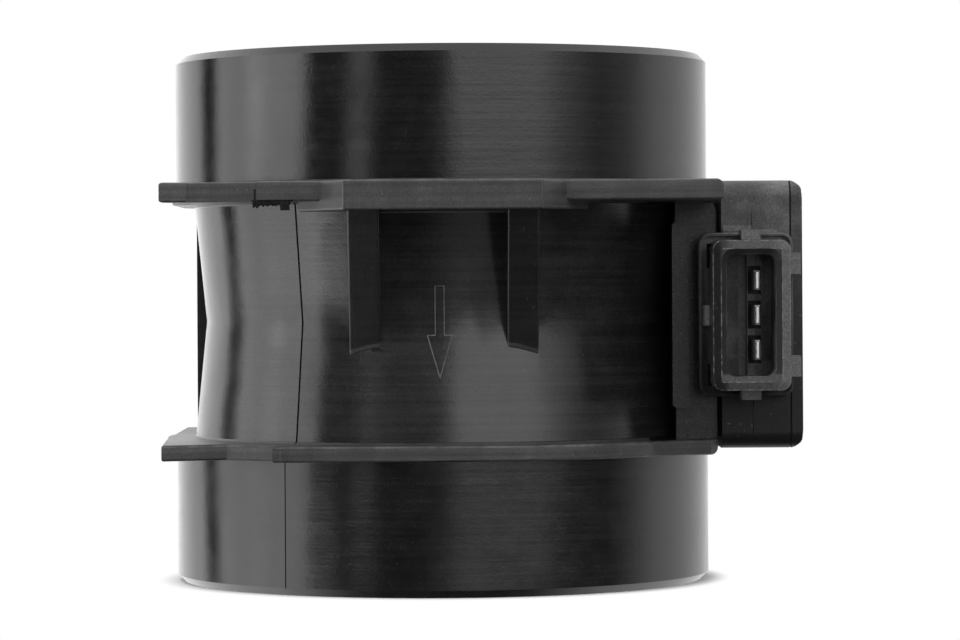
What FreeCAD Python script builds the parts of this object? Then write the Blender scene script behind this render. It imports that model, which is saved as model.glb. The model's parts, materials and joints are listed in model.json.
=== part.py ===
import FreeCAD, Part
import math
import os

# A hot-film mass airflow sensor. Sizes are in millimetres. Air runs down the duct along Z, the plug
# socket faces -Y, which is the front, and the electronics box is on the +X side. The origin is the
# centre of the outlet rim.

# Duct, as heights from the outlet rim upwards and as steps in from the collars
COLLAR_R = 40.0
COLLAR_WALL = 2.6
OUTLET_COLLAR_H = 19.3
LOWER_FLANGE_T = 2.3
WAIST_H = 34.6
UPPER_FLANGE_T = 2.9
INLET_COLLAR_H = 19.4
RIM_CHAMFER = 1.1
MOUTH_CHAMFER = 0.6
SHOULDER_STEP = 2.8
WAIST_DEPTH = 1.7
WAIST_WALL = 2.6
SHOULDER_FILLET = 0.3

# Flanges, each a plate around the duct with a flat front and an ear at its left. Reaches are
# measured out from the collars, and insets in from them, across and to the front. An ear's corners
# run from the flat front round its tip to its rear, and the last one lies inside the plate.
UPPER_FLANGE_REACH = 1.5
UPPER_FLAT_INSET = 0.1
UPPER_EAR = ((14.0, 2.5), (3.6, 6.0), (-0.2, 4.5), (7.0, 18.0), (14.0, 18.0))
LOWER_FLANGE_REACH = 1.5
LOWER_FLAT_REACH = 0.1
LOWER_EAR = ((15.95, 5.8), (9.0, 9.4), (-0.1, 5.6), (-1.0, 28.0), (-1.0, 74.0), (22.0, 74.0))
LOWER_CORNER_START_INSET = (13.0, 10.5)
LOWER_CORNER_INSET = (1.0, 16.6)
LOWER_CORNER_BEVEL_Y = 1.4
FLANGE_EDGE_R = 0.35
FLANGE_END_R = 1.1

# Clip block on the upper flange and the two gussets under it
BLOCK_X = 0.3
BLOCK_REACH = 6.5
BLOCK_HALF_W = 14.0
BLOCK_FLARE = 0.523
BLOCK_DROP = 1.4
BLOCK_EDGE_R = 0.4
GUSSET_IN_X = 9.0
GUSSET_OUT_X = 13.5
GUSSET_SLOPE = 0.52
GUSSET_FOOT_IN_DROP = 3.5
GUSSET_FOOT_OUT_DROP = 4.6
GUSSET_EDGE_R = 0.3

# Flat web between the flanges at the left rear
WEB_INSET = 2.55
WEB_Y = (7.0, 23.0)

# Parting seams
SEAM_ANGLE = 34.3
SEAM_W = 0.3
SEAM_DEPTH = 0.35
COLLAR_SEAM_W = 0.18
COLLAR_SEAM_DEPTH = 0.2

# Electronics box
BOX_GAP = 0.5
BOX_DEPTH = 9.9
BOX_HALF_Y = 23.0
BOX_LOW_RISE = 0.9
BOX_HIGH_RISE = 0.1
BOX_WALL = 1.8
BOX_FLOOR = 1.6
BOX_EDGE_R = 2.4
BOX_WINDOW_W = 10.0
BOX_WINDOW_H = 12.0
BOX_GASKET_SIDE = 1.5
BOX_GASKET_EDGE = 0.2
COVER_T = 1.6
COVER_CORNER = ((1.5, 0.0), (0.95, 0.3), (0.35, 0.8), (0.12, 1.25), (0.0, 2.7))
COVER_JOINT = 0.25
COVER_JOINT_INSET = 0.35
COVER_LIP_DEPTH = 1.6
COVER_LIP_T = 1.2
COVER_LIP_FIT = 0.2

# Pad that carries the electronics box, and the raised strip on its front
PAD_REACH = 0.2
PAD_T = 6.0
PAD_SIDE = 3.5
PAD_CORNER_R = 1.5
PAD_CORNER_DEPTH = 3.0
STRIP_INSET = (6.4, 4.0)
STRIP_REACH = 2.0
STRIP_LOW_GAP = 4.45
STRIP_HIGH_GAP = 2.95
STRIP_CORNER_R = 0.7
STRIP_ROOT_Y = 6.0

# Inlet screens
SEAT_DEPTH = 16.5
GRID_T = 7.0
GRID_RING_W = 1.3
GRID_FIT = 0.15
CELL_PITCH = 7.2
CELL_WALL = 0.6
CELL_MIN_AREA = 6.0
MESH_T = 0.5
MESH_PITCH = 6.7
MESH_WIRE = 0.5
MESH_RIM_W = 1.8
RING_H = 3.0
RING_W = 2.4
RING_CHAMFER = 0.5

# Sensor finger, which reaches from the pad past the duct's axis
FINGER_LIFT = 0.2
FINGER_W = 12.0
FINGER_H = 24.0
FINGER_TIP_X = -9.0
FINGER_TIP_R = 1.2
FINGER_FIT = 0.12
PASSAGE_X = (-5.5, 12.0)
PASSAGE_W = 7.2
PASSAGE_MOUTH = 1.2
PASSAGE_MOUTH_DEPTH = 2.2
ROOT_T = 2.0
ROOT_W = 19.0
ROOT_H = 30.0
ROOT_CORNER_R = 2.0
ROOT_FIT = 0.15
SEAL_T = 1.0
SEAL_GAP = 0.2
LEAD_ROOM_X = 15.0
LEAD_ROOM_Y = 2.6
LEAD_ROOM_H = 7.4
FINGER_COVER_T = 1.1
FINGER_COVER_LAP = 1.5
FINGER_COVER_FIT = 0.08

# Film plates and their leads
FILM_T = 0.5
FILM_H = 6.4
FILM_Y = 1.6
FILM_ROOT = 1.6
FILM_FIT = 0.03
HOT_FILM_REACH = 10.0
AIR_FILM_REACH = 6.5
LEAD_T = 0.3
LEAD_W = 1.0
LEAD_SPREAD = 2.0
LEAD_FOOT = 2.9
LEAD_LAP = 1.2

# Plug socket on the front of the box. Keys and slots are placed from the plug's centre.
PLUG_INSET = 3.35
PLATE_W = 13.6
PLATE_H = 23.7
PLATE_T = 2.8
PLATE_CORNER_R = 1.6
PLATE_LIP_W = 0.45
PLATE_LIP_H = 0.6
PLATE_BEVEL = 0.2
SHROUD_W = 11.1
SHROUD_H = 21.4
SHROUD_REACH = 10.7
SHROUD_CORNER_R = 1.4
SHROUD_RIM_W = 1.0
SHROUD_RIM_DEPTH = 0.2
CAVITY_W = 7.0
CAVITY_H = 17.4
CAVITY_DEPTH = 10.0
CAVITY_CORNER_R = 1.3
CAVITY_MOUTH = 0.8
CAVITY_MOUTH_DEPTH = 1.1
CAVITY_MOUTH_CORNER_R = 1.8
BAR_W = 2.15
BAR_RISE = 1.4
POCKET_W = 1.9
POCKET_H = 4.0
POCKET_DEPTH = 2.2
KEY_REACH = 4.6
KEY_TALL = 1.5
END_KEY_X = (-1.0, 1.75)
LEFT_KEY_Z = (-1.5, 1.4)
RIGHT_KEY_TALL = 1.95
RIGHT_KEY_Z = ((-8.9, -5.9), (5.8, 8.9))
SLOT_X = (-5.65, -4.9)
SLOT_Z = ((-10.3, -7.05), (6.8, 10.3))
SLOT_REACH = 5.0

# Two low ledges on the box over the plug's plate, each as its x limits from the plug's centre,
# its height and how far it stands out at its foot
LEDGES = (((-3.15, 1.0), 1.1, 0.5), ((1.2, 4.75), 0.5, 0.35))

# Terminal pins
PIN_COUNT = 3
PIN_PITCH = 5.0
PIN_SHIFT = 1.0
PIN_W = 2.8
PIN_T = 0.8
PIN_REACH = 7.2
PIN_TAIL = 6.2
PIN_TIP_BEVEL = 0.25

# Screws that hold the box to the pad
SCREW_INSET = (7.5, 4.9)
SCREW_R = 1.2
SCREW_FIT = 0.05
SCREW_PASS_R = 1.5
SCREW_HEAD_R = 2.4
SCREW_HEAD_H = 1.8
SCREW_HEAD_BEVEL = 0.6
SCREW_LENGTH = 6.5
SCREW_SLOT_W = 0.6
SCREW_SLOT_L = 3.0
SCREW_SLOT_DEPTH = 0.8

# Board, its plate and what stands on it. A part's place is its centre across the board and its
# height above the board's lower edge, or below the upper edge where it is negative. Its size follows.
BOARD_T = 0.8
BOARD_SIDE = 2.2
BOARD_SCREW_GAP = 0.4
BASE_PLATE_MARGIN = 0.5
BOARD_WINDOW_W = 4.0
BOARD_WINDOW_H = 8.0
PARTS_ON_BOARD = {
    "control_chip": (10.5, 5.6, 9.0, 9.0, 1.7),
    "amplifier_chip": (9.6, -5.0, 5.0, 4.0, 1.5),
    "power_transistor": (-8.4, -4.8, 6.4, 6.0, 2.3),
    "capacitor_1": (-9.6, 2.8, 3.2, 1.6, 1.6),
    "capacitor_2": (-9.6, 5.6, 3.2, 1.6, 1.6),
    "capacitor_3": (-9.6, 8.4, 3.2, 1.6, 1.6),
    "capacitor_4": (15.2, -4.8, 1.6, 3.2, 1.6),
    "resistor_1": (1.0, -1.8, 3.2, 1.6, 0.6),
    "resistor_2": (-2.6, 2.8, 3.2, 1.6, 0.6),
    "resistor_3": (2.0, 2.8, 3.2, 1.6, 0.6),
}
CHIP_EDGE = 0.15

# Places that follow from the sizes
LOWER_FLANGE_Z = OUTLET_COLLAR_H
LOWER_TOP_Z = LOWER_FLANGE_Z + LOWER_FLANGE_T
UPPER_FLANGE_Z = LOWER_TOP_Z + WAIST_H
UPPER_TOP_Z = UPPER_FLANGE_Z + UPPER_FLANGE_T
DUCT_HEIGHT = UPPER_TOP_Z + INLET_COLLAR_H
WAIST_Z = LOWER_TOP_Z + WAIST_H / 2
SHOULDER_R = COLLAR_R - SHOULDER_STEP
WAIST_R = SHOULDER_R - WAIST_DEPTH
BORE_R = COLLAR_R - COLLAR_WALL
SHOULDER_BORE_R = SHOULDER_R - WAIST_WALL
UPPER_FLAT_X = COLLAR_R - UPPER_FLAT_INSET
LOWER_FLAT_X = COLLAR_R + LOWER_FLAT_REACH
BLOCK_FRONT_Y = COLLAR_R + BLOCK_REACH
BLOCK_Z = UPPER_FLANGE_Z - BLOCK_DROP
SEAT_Z = DUCT_HEIGHT - SEAT_DEPTH
GRID_TOP_Z = SEAT_Z + GRID_T
MESH_TOP_Z = GRID_TOP_Z + MESH_T
PAD_X = COLLAR_R + PAD_REACH
PAD_HALF_Y = BOX_HALF_Y - PAD_SIDE
ROOT_POCKET_X = PAD_X - ROOT_T - SEAL_T
FINGER_Z = WAIST_Z + FINGER_LIFT
BOX_X = PAD_X + BOX_GAP
BOX_FLOOR_X = BOX_X + BOX_FLOOR
BOX_RIM_X = BOX_X + BOX_DEPTH
COVER_X = BOX_RIM_X + COVER_JOINT
BOX_Z = (LOWER_FLANGE_Z + BOX_LOW_RISE, UPPER_TOP_Z + BOX_HIGH_RISE)
BOX_MID_Z = (BOX_Z[0] + BOX_Z[1]) / 2
PLUG_X = BOX_X + PLUG_INSET
PLUG_Z = BOX_MID_Z
PLATE_FRONT_Y = -BOX_HALF_Y - PLATE_T
SHROUD_FRONT_Y = PLATE_FRONT_Y - SHROUD_REACH
CAVITY_FLOOR_Y = SHROUD_FRONT_Y + CAVITY_DEPTH
PIN_X = PLUG_X + PIN_SHIFT
BOARD_TOP_X = PIN_X - PIN_T / 2
BOARD_X = BOARD_TOP_X - BOARD_T
BOARD_HALF_Y = BOX_HALF_Y - BOX_WALL - BOARD_SIDE
BASE_PLATE_LOW_Z = BOX_Z[0] + SCREW_INSET[1] + SCREW_HEAD_R + BOARD_SCREW_GAP
BOARD_LOW_Z = BASE_PLATE_LOW_Z + BASE_PLATE_MARGIN
BOARD_Z = (BOARD_LOW_Z, 2 * FINGER_Z - BOARD_LOW_Z)
OVERCUT = 1.0

X_AXIS = FreeCAD.Vector(1, 0, 0)
Y_AXIS = FreeCAD.Vector(0, 1, 0)
Z_AXIS = FreeCAD.Vector(0, 0, 1)


def block(x, y, z):
    """Box between two limits along each axis."""
    corner = FreeCAD.Vector(x[0], y[0], z[0])
    return Part.makeBox(x[1] - x[0], y[1] - y[0], z[1] - z[0], corner)


def about(centre, width):
    """Two limits, half the width either side of the centre."""
    return (centre - width / 2, centre + width / 2)


def grown(limits, margin):
    """Two limits moved apart by a margin at each end."""
    return (limits[0] - margin, limits[1] + margin)


def along(solid, axis):
    """Straight edges of a solid that run along an axis."""
    found = []
    for edge in solid.Edges:
        if isinstance(edge.Curve, Part.Line) and abs(edge.Curve.Direction.dot(axis)) > 0.999:
            found.append(edge)
    return found


def rounded(solid, axis, radius):
    """Solid with its edges along one axis rounded."""
    return solid.makeFillet(radius, along(solid, axis))


def prism(points, z):
    """Upright prism on a closed outline of (x, y) points, between two heights."""
    corners = [FreeCAD.Vector(x, y, z[0]) for x, y in points]
    face = Part.Face(Part.makePolygon(corners + corners[:1]))
    return face.extrude(Z_AXIS * (z[1] - z[0]))


def turned(points):
    """Solid of revolution about the duct's axis on a closed outline of (radius, height) points."""
    corners = [FreeCAD.Vector(radius, 0, height) for radius, height in points]
    face = Part.Face(Part.makePolygon(corners + corners[:1]))
    return face.revolve(FreeCAD.Vector(0, 0, 0), Z_AXIS, 360)


def disc(radius, z):
    """Round plate on the duct's axis between two heights."""
    return Part.makeCylinder(radius, z[1] - z[0], FreeCAD.Vector(0, 0, z[0]))


def shifted(limits, centre):
    """Two limits given from a centre, as places."""
    return (centre + limits[0], centre + limits[1])


def waist_radius(z):
    """Outer radius of the duct between its flanges."""
    share = abs(z - WAIST_Z) / (UPPER_FLANGE_Z - WAIST_Z)
    return WAIST_R + (SHOULDER_R - WAIST_R) * share


# Duct housing

def duct_outside():
    """Collars, shoulders and waist as one turned solid, with no bore yet."""
    lower = LOWER_TOP_Z + SHOULDER_FILLET
    upper = UPPER_FLANGE_Z - SHOULDER_FILLET
    return turned([
        (0, 0),
        (COLLAR_R - RIM_CHAMFER, 0),
        (COLLAR_R, RIM_CHAMFER),
        (COLLAR_R, LOWER_FLANGE_Z),
        (SHOULDER_R + SHOULDER_FILLET, LOWER_FLANGE_Z),
        (SHOULDER_R + SHOULDER_FILLET, LOWER_TOP_Z),
        (waist_radius(lower), lower),
        (WAIST_R, WAIST_Z),
        (waist_radius(upper), upper),
        (SHOULDER_R + SHOULDER_FILLET, UPPER_FLANGE_Z),
        (SHOULDER_R + SHOULDER_FILLET, UPPER_TOP_Z),
        (COLLAR_R, UPPER_TOP_Z),
        (COLLAR_R, DUCT_HEIGHT - RIM_CHAMFER),
        (COLLAR_R - RIM_CHAMFER, DUCT_HEIGHT),
        (0, DUCT_HEIGHT),
    ])


def duct_bore():
    """Air path: outlet bore, waist, and the wider inlet bore above the screens' seat."""
    return turned([
        (0, -OVERCUT),
        (BORE_R + MOUTH_CHAMFER + OVERCUT, -OVERCUT),
        (BORE_R, MOUTH_CHAMFER),
        (BORE_R, LOWER_FLANGE_Z - WAIST_WALL),
        (SHOULDER_BORE_R, LOWER_TOP_Z),
        (WAIST_R - WAIST_WALL, WAIST_Z),
        (SHOULDER_BORE_R, UPPER_FLANGE_Z),
        (SHOULDER_BORE_R, SEAT_Z),
        (BORE_R, SEAT_Z),
        (BORE_R, DUCT_HEIGHT - MOUTH_CHAMFER),
        (BORE_R + MOUTH_CHAMFER + OVERCUT, DUCT_HEIGHT + OVERCUT),
        (0, DUCT_HEIGHT + OVERCUT),
    ])


def soften(plate, radius):
    """Plate with the level edges of its outline rounded."""
    edges = []
    low = plate.BoundBox.ZMin
    high = plate.BoundBox.ZMax
    for edge in plate.Edges:
        box = edge.BoundBox
        if box.ZLength < 0.001 and min(abs(box.ZMin - low), abs(box.ZMin - high)) < 0.001:
            edges.append(edge)
    return plate.makeFillet(radius, edges)


def flange(z, reach, sides, front_right, ear):
    """Plate around the duct: round at the rear, flat in front and cut at its sides, with an ear."""
    radius = COLLAR_R + reach
    window = block(sides, (-COLLAR_R, radius + OVERCUT), z)
    plate = disc(radius, z).common(window)
    corners = [(across - COLLAR_R, back - COLLAR_R) for across, back in ear]
    start_x = corners[0][0]
    front = prism([(start_x, -COLLAR_R), (front_right, -COLLAR_R), (front_right, 0), (start_x, 0)], z)
    return plate.fuse([front, prism(corners, z)]).removeSplitter()


def round_end(plate, z, flat_x, side):
    """Plate with one edge of its right end rounded, the upper for side 1 and the lower for -1."""
    far = 2 * COLLAR_R
    z = (z[0] - FLANGE_END_R, z[1]) if side > 0 else (z[0], z[1] + FLANGE_END_R)
    window = block((-far, flat_x), (-far, far), z)
    edge = [edge for edge in along(window, Y_AXIS)
            if edge.CenterOfMass.x > 0 and (2 * edge.CenterOfMass.z - z[0] - z[1]) * side > 0]
    return plate.common(window.makeFillet(FLANGE_END_R, edge))


def upper_flange():
    """Upper plate, whose flat front runs to its right end beside the box."""
    z = (UPPER_FLANGE_Z, UPPER_TOP_Z)
    sides = (-UPPER_FLAT_X, UPPER_FLAT_X)
    plate = flange(z, UPPER_FLANGE_REACH, sides, UPPER_FLAT_X, UPPER_EAR)
    return round_end(soften(plate, FLANGE_EDGE_R), z, UPPER_FLAT_X, 1)


def lower_flange():
    """Lower plate, round at the right of its front, with a corner under the box."""
    z = (LOWER_FLANGE_Z, LOWER_TOP_Z)
    start_x, start_y = (COLLAR_R - inset for inset in LOWER_CORNER_START_INSET)
    corner_x, corner_y = (COLLAR_R - inset for inset in LOWER_CORNER_INSET)
    corner = prism([
        (0, -start_y),
        (start_x, -start_y),
        (corner_x, -corner_y),
        (LOWER_FLAT_X, LOWER_CORNER_BEVEL_Y - corner_y),
        (LOWER_FLAT_X, 0),
        (0, 0),
    ], z)
    sides = (-2 * COLLAR_R, LOWER_FLAT_X)
    plate = flange(z, LOWER_FLANGE_REACH, sides, 0, LOWER_EAR)
    plate = soften(plate.fuse(corner).removeSplitter(), FLANGE_EDGE_R)
    return round_end(plate, z, LOWER_FLAT_X, -1)


def clip_block():
    """Block on the front of the upper flange, which widens towards the duct."""
    root_y = SHOULDER_R - WAIST_WALL - OVERCUT
    root_half = BLOCK_HALF_W + (BLOCK_FRONT_Y - root_y) * BLOCK_FLARE
    solid = prism([
        (BLOCK_X - BLOCK_HALF_W, -BLOCK_FRONT_Y),
        (BLOCK_X + BLOCK_HALF_W, -BLOCK_FRONT_Y),
        (BLOCK_X + root_half, -root_y),
        (BLOCK_X - root_half, -root_y),
    ], (BLOCK_Z, UPPER_TOP_Z))
    edges = [edge for edge in solid.Edges if edge.CenterOfMass.y < -root_y - OVERCUT]
    return solid.makeFillet(BLOCK_EDGE_R, edges)


def gusset(side):
    """Sloping rib under the clip block, on side -1 or 1. Its face turns a little outwards."""
    wires = []
    faces = ((GUSSET_IN_X, GUSSET_FOOT_IN_DROP), (GUSSET_OUT_X, GUSSET_FOOT_OUT_DROP))
    for from_middle, drop in faces:
        x = BLOCK_X + side * from_middle
        foot_z = WAIST_Z - drop
        foot_y = math.sqrt(waist_radius(foot_z) ** 2 - x ** 2)
        root_y = foot_y - WAIST_WALL
        top_z = BLOCK_Z + BLOCK_DROP
        front_y = foot_y + (top_z - foot_z) * GUSSET_SLOPE
        root_z = foot_z - (foot_y - root_y) / GUSSET_SLOPE
        corners = [(front_y, top_z), (root_y, top_z), (root_y, root_z)]
        points = [FreeCAD.Vector(x, -y, z) for y, z in corners]
        wires.append(Part.makePolygon(points + points[:1]))
    solid = Part.makeLoft(wires, True, True)
    boxes = [(edge, edge.BoundBox) for edge in solid.Edges]
    edges = [edge for edge, box in boxes if box.XLength < 0.01 and min(box.YLength, box.ZLength) > 1]
    return solid.makeFillet(GUSSET_EDGE_R, edges)


def rear_web():
    """Flat upright web between the flanges at the left rear, rooted in the wall at its far edge."""
    root_x = math.sqrt((WAIST_R - WAIST_WALL / 2) ** 2 - WEB_Y[1] ** 2)
    return block((WEB_INSET - COLLAR_R, -root_x), WEB_Y, (LOWER_TOP_Z, UPPER_FLANGE_Z))


def box_pad():
    """Flat pad for the electronics box, with a raised strip on its front."""
    x = (PAD_X - PAD_T, PAD_X)
    z = (LOWER_TOP_Z, UPPER_FLANGE_Z)
    behind_y = PAD_CORNER_DEPTH - PAD_HALF_Y
    front = block(x, (-PAD_HALF_Y, behind_y), z)
    corner = [edge for edge in along(front, Y_AXIS)
              if edge.CenterOfMass.x > PAD_X - 0.01 and edge.CenterOfMass.z > WAIST_Z]
    pad = front.makeFillet(PAD_CORNER_R, corner).fuse(block(x, (behind_y, PAD_HALF_Y), z))
    strip_x = (COLLAR_R - STRIP_INSET[0], COLLAR_R - STRIP_INSET[1])
    strip_y = (-PAD_HALF_Y - STRIP_REACH, -STRIP_ROOT_Y)
    strip = block(strip_x, strip_y, (LOWER_TOP_Z + STRIP_LOW_GAP, UPPER_FLANGE_Z - STRIP_HIGH_GAP))
    return pad.fuse(rounded(strip, Y_AXIS, STRIP_CORNER_R))


def finger_room():
    """Hole through the duct's wall for the finger, with the pocket for its root flange."""
    body = finger_body(FINGER_FIT, (WAIST_R / 2, PAD_X))
    size_y = about(0, ROOT_W + 2 * ROOT_FIT)
    size_z = about(FINGER_Z, ROOT_H + 2 * ROOT_FIT)
    pocket = block((ROOT_POCKET_X, PAD_X + OVERCUT), size_y, size_z)
    return body.fuse(rounded(pocket, X_AXIS, ROOT_CORNER_R))


def screw_places():
    """Screw axes as (y, z) pairs."""
    half_y = BOX_HALF_Y - SCREW_INSET[0]
    heights = grown(BOX_Z, -SCREW_INSET[1])
    return [(y, z) for y in (-half_y, half_y) for z in heights]


def screw_holes(radius, x):
    """Round holes along X at every screw, between two limits."""
    return [Part.makeCylinder(radius, x[1] - x[0], FreeCAD.Vector(x[0], y, z), X_AXIS)
            for y, z in screw_places()]


def seam(points, width):
    """Upright cut at the parting plane, on a closed outline of (radius, height) points."""
    corners = [FreeCAD.Vector(-width / 2, -radius, z) for radius, z in points]
    face = Part.Face(Part.makePolygon(corners + corners[:1]))
    cut = face.extrude(X_AXIS * width)
    cut.rotate(FreeCAD.Vector(0, 0, 0), Z_AXIS, -SEAM_ANGLE)
    return cut


def seams():
    """Parting grooves on the waist and on the outlet collar."""
    out_r = SHOULDER_R + SHOULDER_FILLET
    waist = seam([(SHOULDER_R - SEAM_DEPTH, LOWER_TOP_Z), (WAIST_R - SEAM_DEPTH, WAIST_Z),
                  (SHOULDER_R - SEAM_DEPTH, UPPER_FLANGE_Z), (out_r, UPPER_FLANGE_Z),
                  (out_r, LOWER_TOP_Z)], SEAM_W)
    in_r = COLLAR_R - COLLAR_SEAM_DEPTH
    collar = seam([(in_r, -OVERCUT), (in_r, LOWER_FLANGE_Z), (COLLAR_R + OVERCUT, LOWER_FLANGE_Z),
                   (COLLAR_R + OVERCUT, -OVERCUT)], COLLAR_SEAM_W)
    return [waist, collar]


def duct_housing():
    """The duct, moulded in one piece."""
    added = [upper_flange(), lower_flange(), clip_block(), gusset(-1), gusset(1), rear_web(), box_pad()]
    solid = duct_outside().fuse(added)
    hole_x = (BOX_FLOOR_X - SCREW_LENGTH - OVERCUT, PAD_X + OVERCUT)
    removed = [duct_bore(), finger_room()] + screw_holes(SCREW_R + SCREW_FIT, hole_x) + seams()
    return solid.cut(removed).removeSplitter()


# Inlet screens

def hexagon(x, y, flats):
    """Six corners of a cell about a centre, given the size across its flats."""
    reach = flats / math.sqrt(3)
    corners = []
    for step in range(6):
        angle = math.radians(60 * step + 30)
        corners.append((x + reach * math.cos(angle), y + reach * math.sin(angle)))
    return corners


def straightener_grid():
    """Honeycomb disc on the duct's seat, with every cell open along the air path."""
    outer_r = BORE_R - GRID_FIT
    inside = disc(outer_r - GRID_RING_W, grown((SEAT_Z, GRID_TOP_Z), OVERCUT))
    row_step = CELL_PITCH * math.sqrt(3) / 2
    rows = int(outer_r / row_step) + 1
    cells = []
    for row in range(-rows, rows + 1):
        shift = CELL_PITCH / 2 * (row % 2)
        count = int(outer_r / CELL_PITCH) + 1
        for column in range(-count, count + 1):
            x = column * CELL_PITCH + shift
            outline = hexagon(x, row * row_step, CELL_PITCH - CELL_WALL)
            if math.hypot(x, row * row_step) > outer_r:
                continue
            cell = prism(outline, grown((SEAT_Z, GRID_TOP_Z), OVERCUT)).common(inside)
            if cell.Volume > CELL_MIN_AREA * (GRID_T + 2 * OVERCUT):
                cells.append(cell)
    return disc(outer_r, (SEAT_Z, GRID_TOP_Z)).cut(cells)


def inlet_mesh():
    """Wire screen on the grid, drawn as one plate with square gaps."""
    outer_r = BORE_R - GRID_FIT
    z = (GRID_TOP_Z, MESH_TOP_Z)
    inside = disc(outer_r - MESH_RIM_W, grown(z, OVERCUT))
    count = int(outer_r / MESH_PITCH) + 1
    gap = MESH_PITCH - MESH_WIRE
    places = [(step + 0.5) * MESH_PITCH for step in range(-count, count)]
    gaps = []
    for x in places:
        for y in places:
            if math.hypot(x, y) > outer_r:
                continue
            hole = block(about(x, gap), about(y, gap), grown(z, OVERCUT)).common(inside)
            if hole.Volume > CELL_MIN_AREA * (MESH_T + 2 * OVERCUT):
                gaps.append(hole)
    return disc(outer_r, z).cut(gaps)


def mesh_retaining_ring():
    """Ring pressed into the inlet bore over the screen."""
    top = MESH_TOP_Z + RING_H
    inner_r = BORE_R - RING_W
    return turned([(inner_r, MESH_TOP_Z), (BORE_R, MESH_TOP_Z), (BORE_R, top - RING_CHAMFER),
                   (BORE_R - RING_CHAMFER, top), (inner_r + RING_CHAMFER, top),
                   (inner_r, top - RING_CHAMFER)])


# Sensor finger

def finger_body(margin, x):
    """Bar along X with round leading and trailing edges, larger all round by a margin."""
    radius = FINGER_W / 2
    straight = FINGER_H - FINGER_W
    body = block(x, grown((-radius, radius), margin), about(FINGER_Z, straight))
    ends = []
    for z in about(FINGER_Z, straight):
        start = FreeCAD.Vector(x[0], 0, z)
        ends.append(Part.makeCylinder(radius + margin, x[1] - x[0], start, X_AXIS))
    return body.fuse(ends).removeSplitter()


def passage():
    """Measuring passage down through the finger, with a flared mouth at both ends."""
    low_z, high_z = about(FINGER_Z, FINGER_H)
    half = PASSAGE_W / 2
    bore = block(PASSAGE_X, (-half, half), (low_z - OVERCUT, high_z + OVERCUT))
    mouths = []
    for edge_z, way in ((low_z, 1), (high_z, -1)):
        wires = []
        for margin, z in ((PASSAGE_MOUTH, edge_z), (0, edge_z + way * PASSAGE_MOUTH_DEPTH)):
            x = grown(PASSAGE_X, margin)
            y = grown((-half, half), margin)
            corners = [(x[0], y[0]), (x[1], y[0]), (x[1], y[1]), (x[0], y[1])]
            points = [FreeCAD.Vector(px, py, z) for px, py in corners]
            wires.append(Part.makePolygon(points + points[:1]))
        mouths.append(Part.makeLoft(wires, True, True))
    return bore.fuse(mouths)


def film_plate(side, reach, margin):
    """Film plate on side -1 or 1 of the passage, which reaches into it from its root wall."""
    x = (PASSAGE_X[1] - reach, LEAD_ROOM_X + FILM_ROOT)
    return block(x, about(side * FILM_Y, FILM_T + 2 * margin), about(FINGER_Z, FILM_H + 2 * margin))


def lead_room():
    """Room for the leads inside the finger, open at its rear side and at its root."""
    tall = about(FINGER_Z, LEAD_ROOM_H)
    room = block((LEAD_ROOM_X, ROOT_POCKET_X - SEAL_T), (-LEAD_ROOM_Y, FINGER_W / 2 + OVERCUT), tall)
    neck = block((LEAD_ROOM_X, PAD_X + OVERCUT), (-LEAD_ROOM_Y, LEAD_ROOM_Y), tall)
    return room.fuse(neck)


def cover_room(fit):
    """Space of the finger's lid, smaller all round by its fit."""
    x = grown((LEAD_ROOM_X, ROOT_POCKET_X - SEAL_T), FINGER_COVER_LAP - fit)
    x = (x[0], ROOT_POCKET_X - SEAL_T + FINGER_COVER_LAP / 2 - fit)
    z = about(FINGER_Z, LEAD_ROOM_H + 2 * (FINGER_COVER_LAP - fit))
    return block(x, (FINGER_W / 2 - FINGER_COVER_T, FINGER_W / 2), z)


def sensor_finger():
    """Plug-in arm with the measuring passage near its tip and a flange at its root."""
    body = finger_body(0, (FINGER_TIP_X, PAD_X))
    tip = [edge for edge in body.Edges if edge.BoundBox.XMax < FINGER_TIP_X + 0.01]
    body = body.makeFillet(FINGER_TIP_R, tip)
    root = block((ROOT_POCKET_X + SEAL_T, PAD_X), about(0, ROOT_W), about(FINGER_Z, ROOT_H))
    body = body.fuse(rounded(root, X_AXIS, ROOT_CORNER_R))
    slots = [film_plate(-1, 0, FILM_FIT), film_plate(1, 0, FILM_FIT)]
    return body.cut([passage(), lead_room(), cover_room(0)] + slots).removeSplitter()


def finger_seal():
    """Rubber ring around the finger, under its root flange."""
    x = (ROOT_POCKET_X, ROOT_POCKET_X + SEAL_T)
    ring = block(x, about(0, ROOT_W - SEAL_GAP), about(FINGER_Z, ROOT_H - SEAL_GAP))
    return rounded(ring, X_AXIS, ROOT_CORNER_R).cut(finger_body(SEAL_GAP, grown(x, OVERCUT)))


def sensor_lead_frame():
    """Four stamped strips from the film plates through the board, each with a foot on it."""
    strips = []
    for side in (-1, 1):
        face_y = side * (FILM_Y - FILM_T / 2)
        back_y = face_y - side * LEAD_T
        thick = (min(face_y, back_y), max(face_y, back_y))
        end_y = back_y + side * LEAD_FOOT
        foot = (min(back_y, end_y), max(back_y, end_y))
        for z in (-LEAD_SPREAD, LEAD_SPREAD):
            width = about(FINGER_Z + z, LEAD_W)
            run_x = (LEAD_ROOM_X + FILM_ROOT - LEAD_LAP, BOARD_TOP_X + LEAD_T)
            strip = block(run_x, thick, width)
            strips.append(strip.fuse(block((BOARD_TOP_X, run_x[1]), foot, width)).removeSplitter())
    return Part.makeCompound(strips)


# Electronics box and plug socket

def plug_block(width, height, y, radius):
    """Rectangle about the plug's centre, extruded between two places along Y, with round corners."""
    return rounded(block(about(PLUG_X, width), y, about(PLUG_Z, height)), Y_AXIS, radius)


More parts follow.
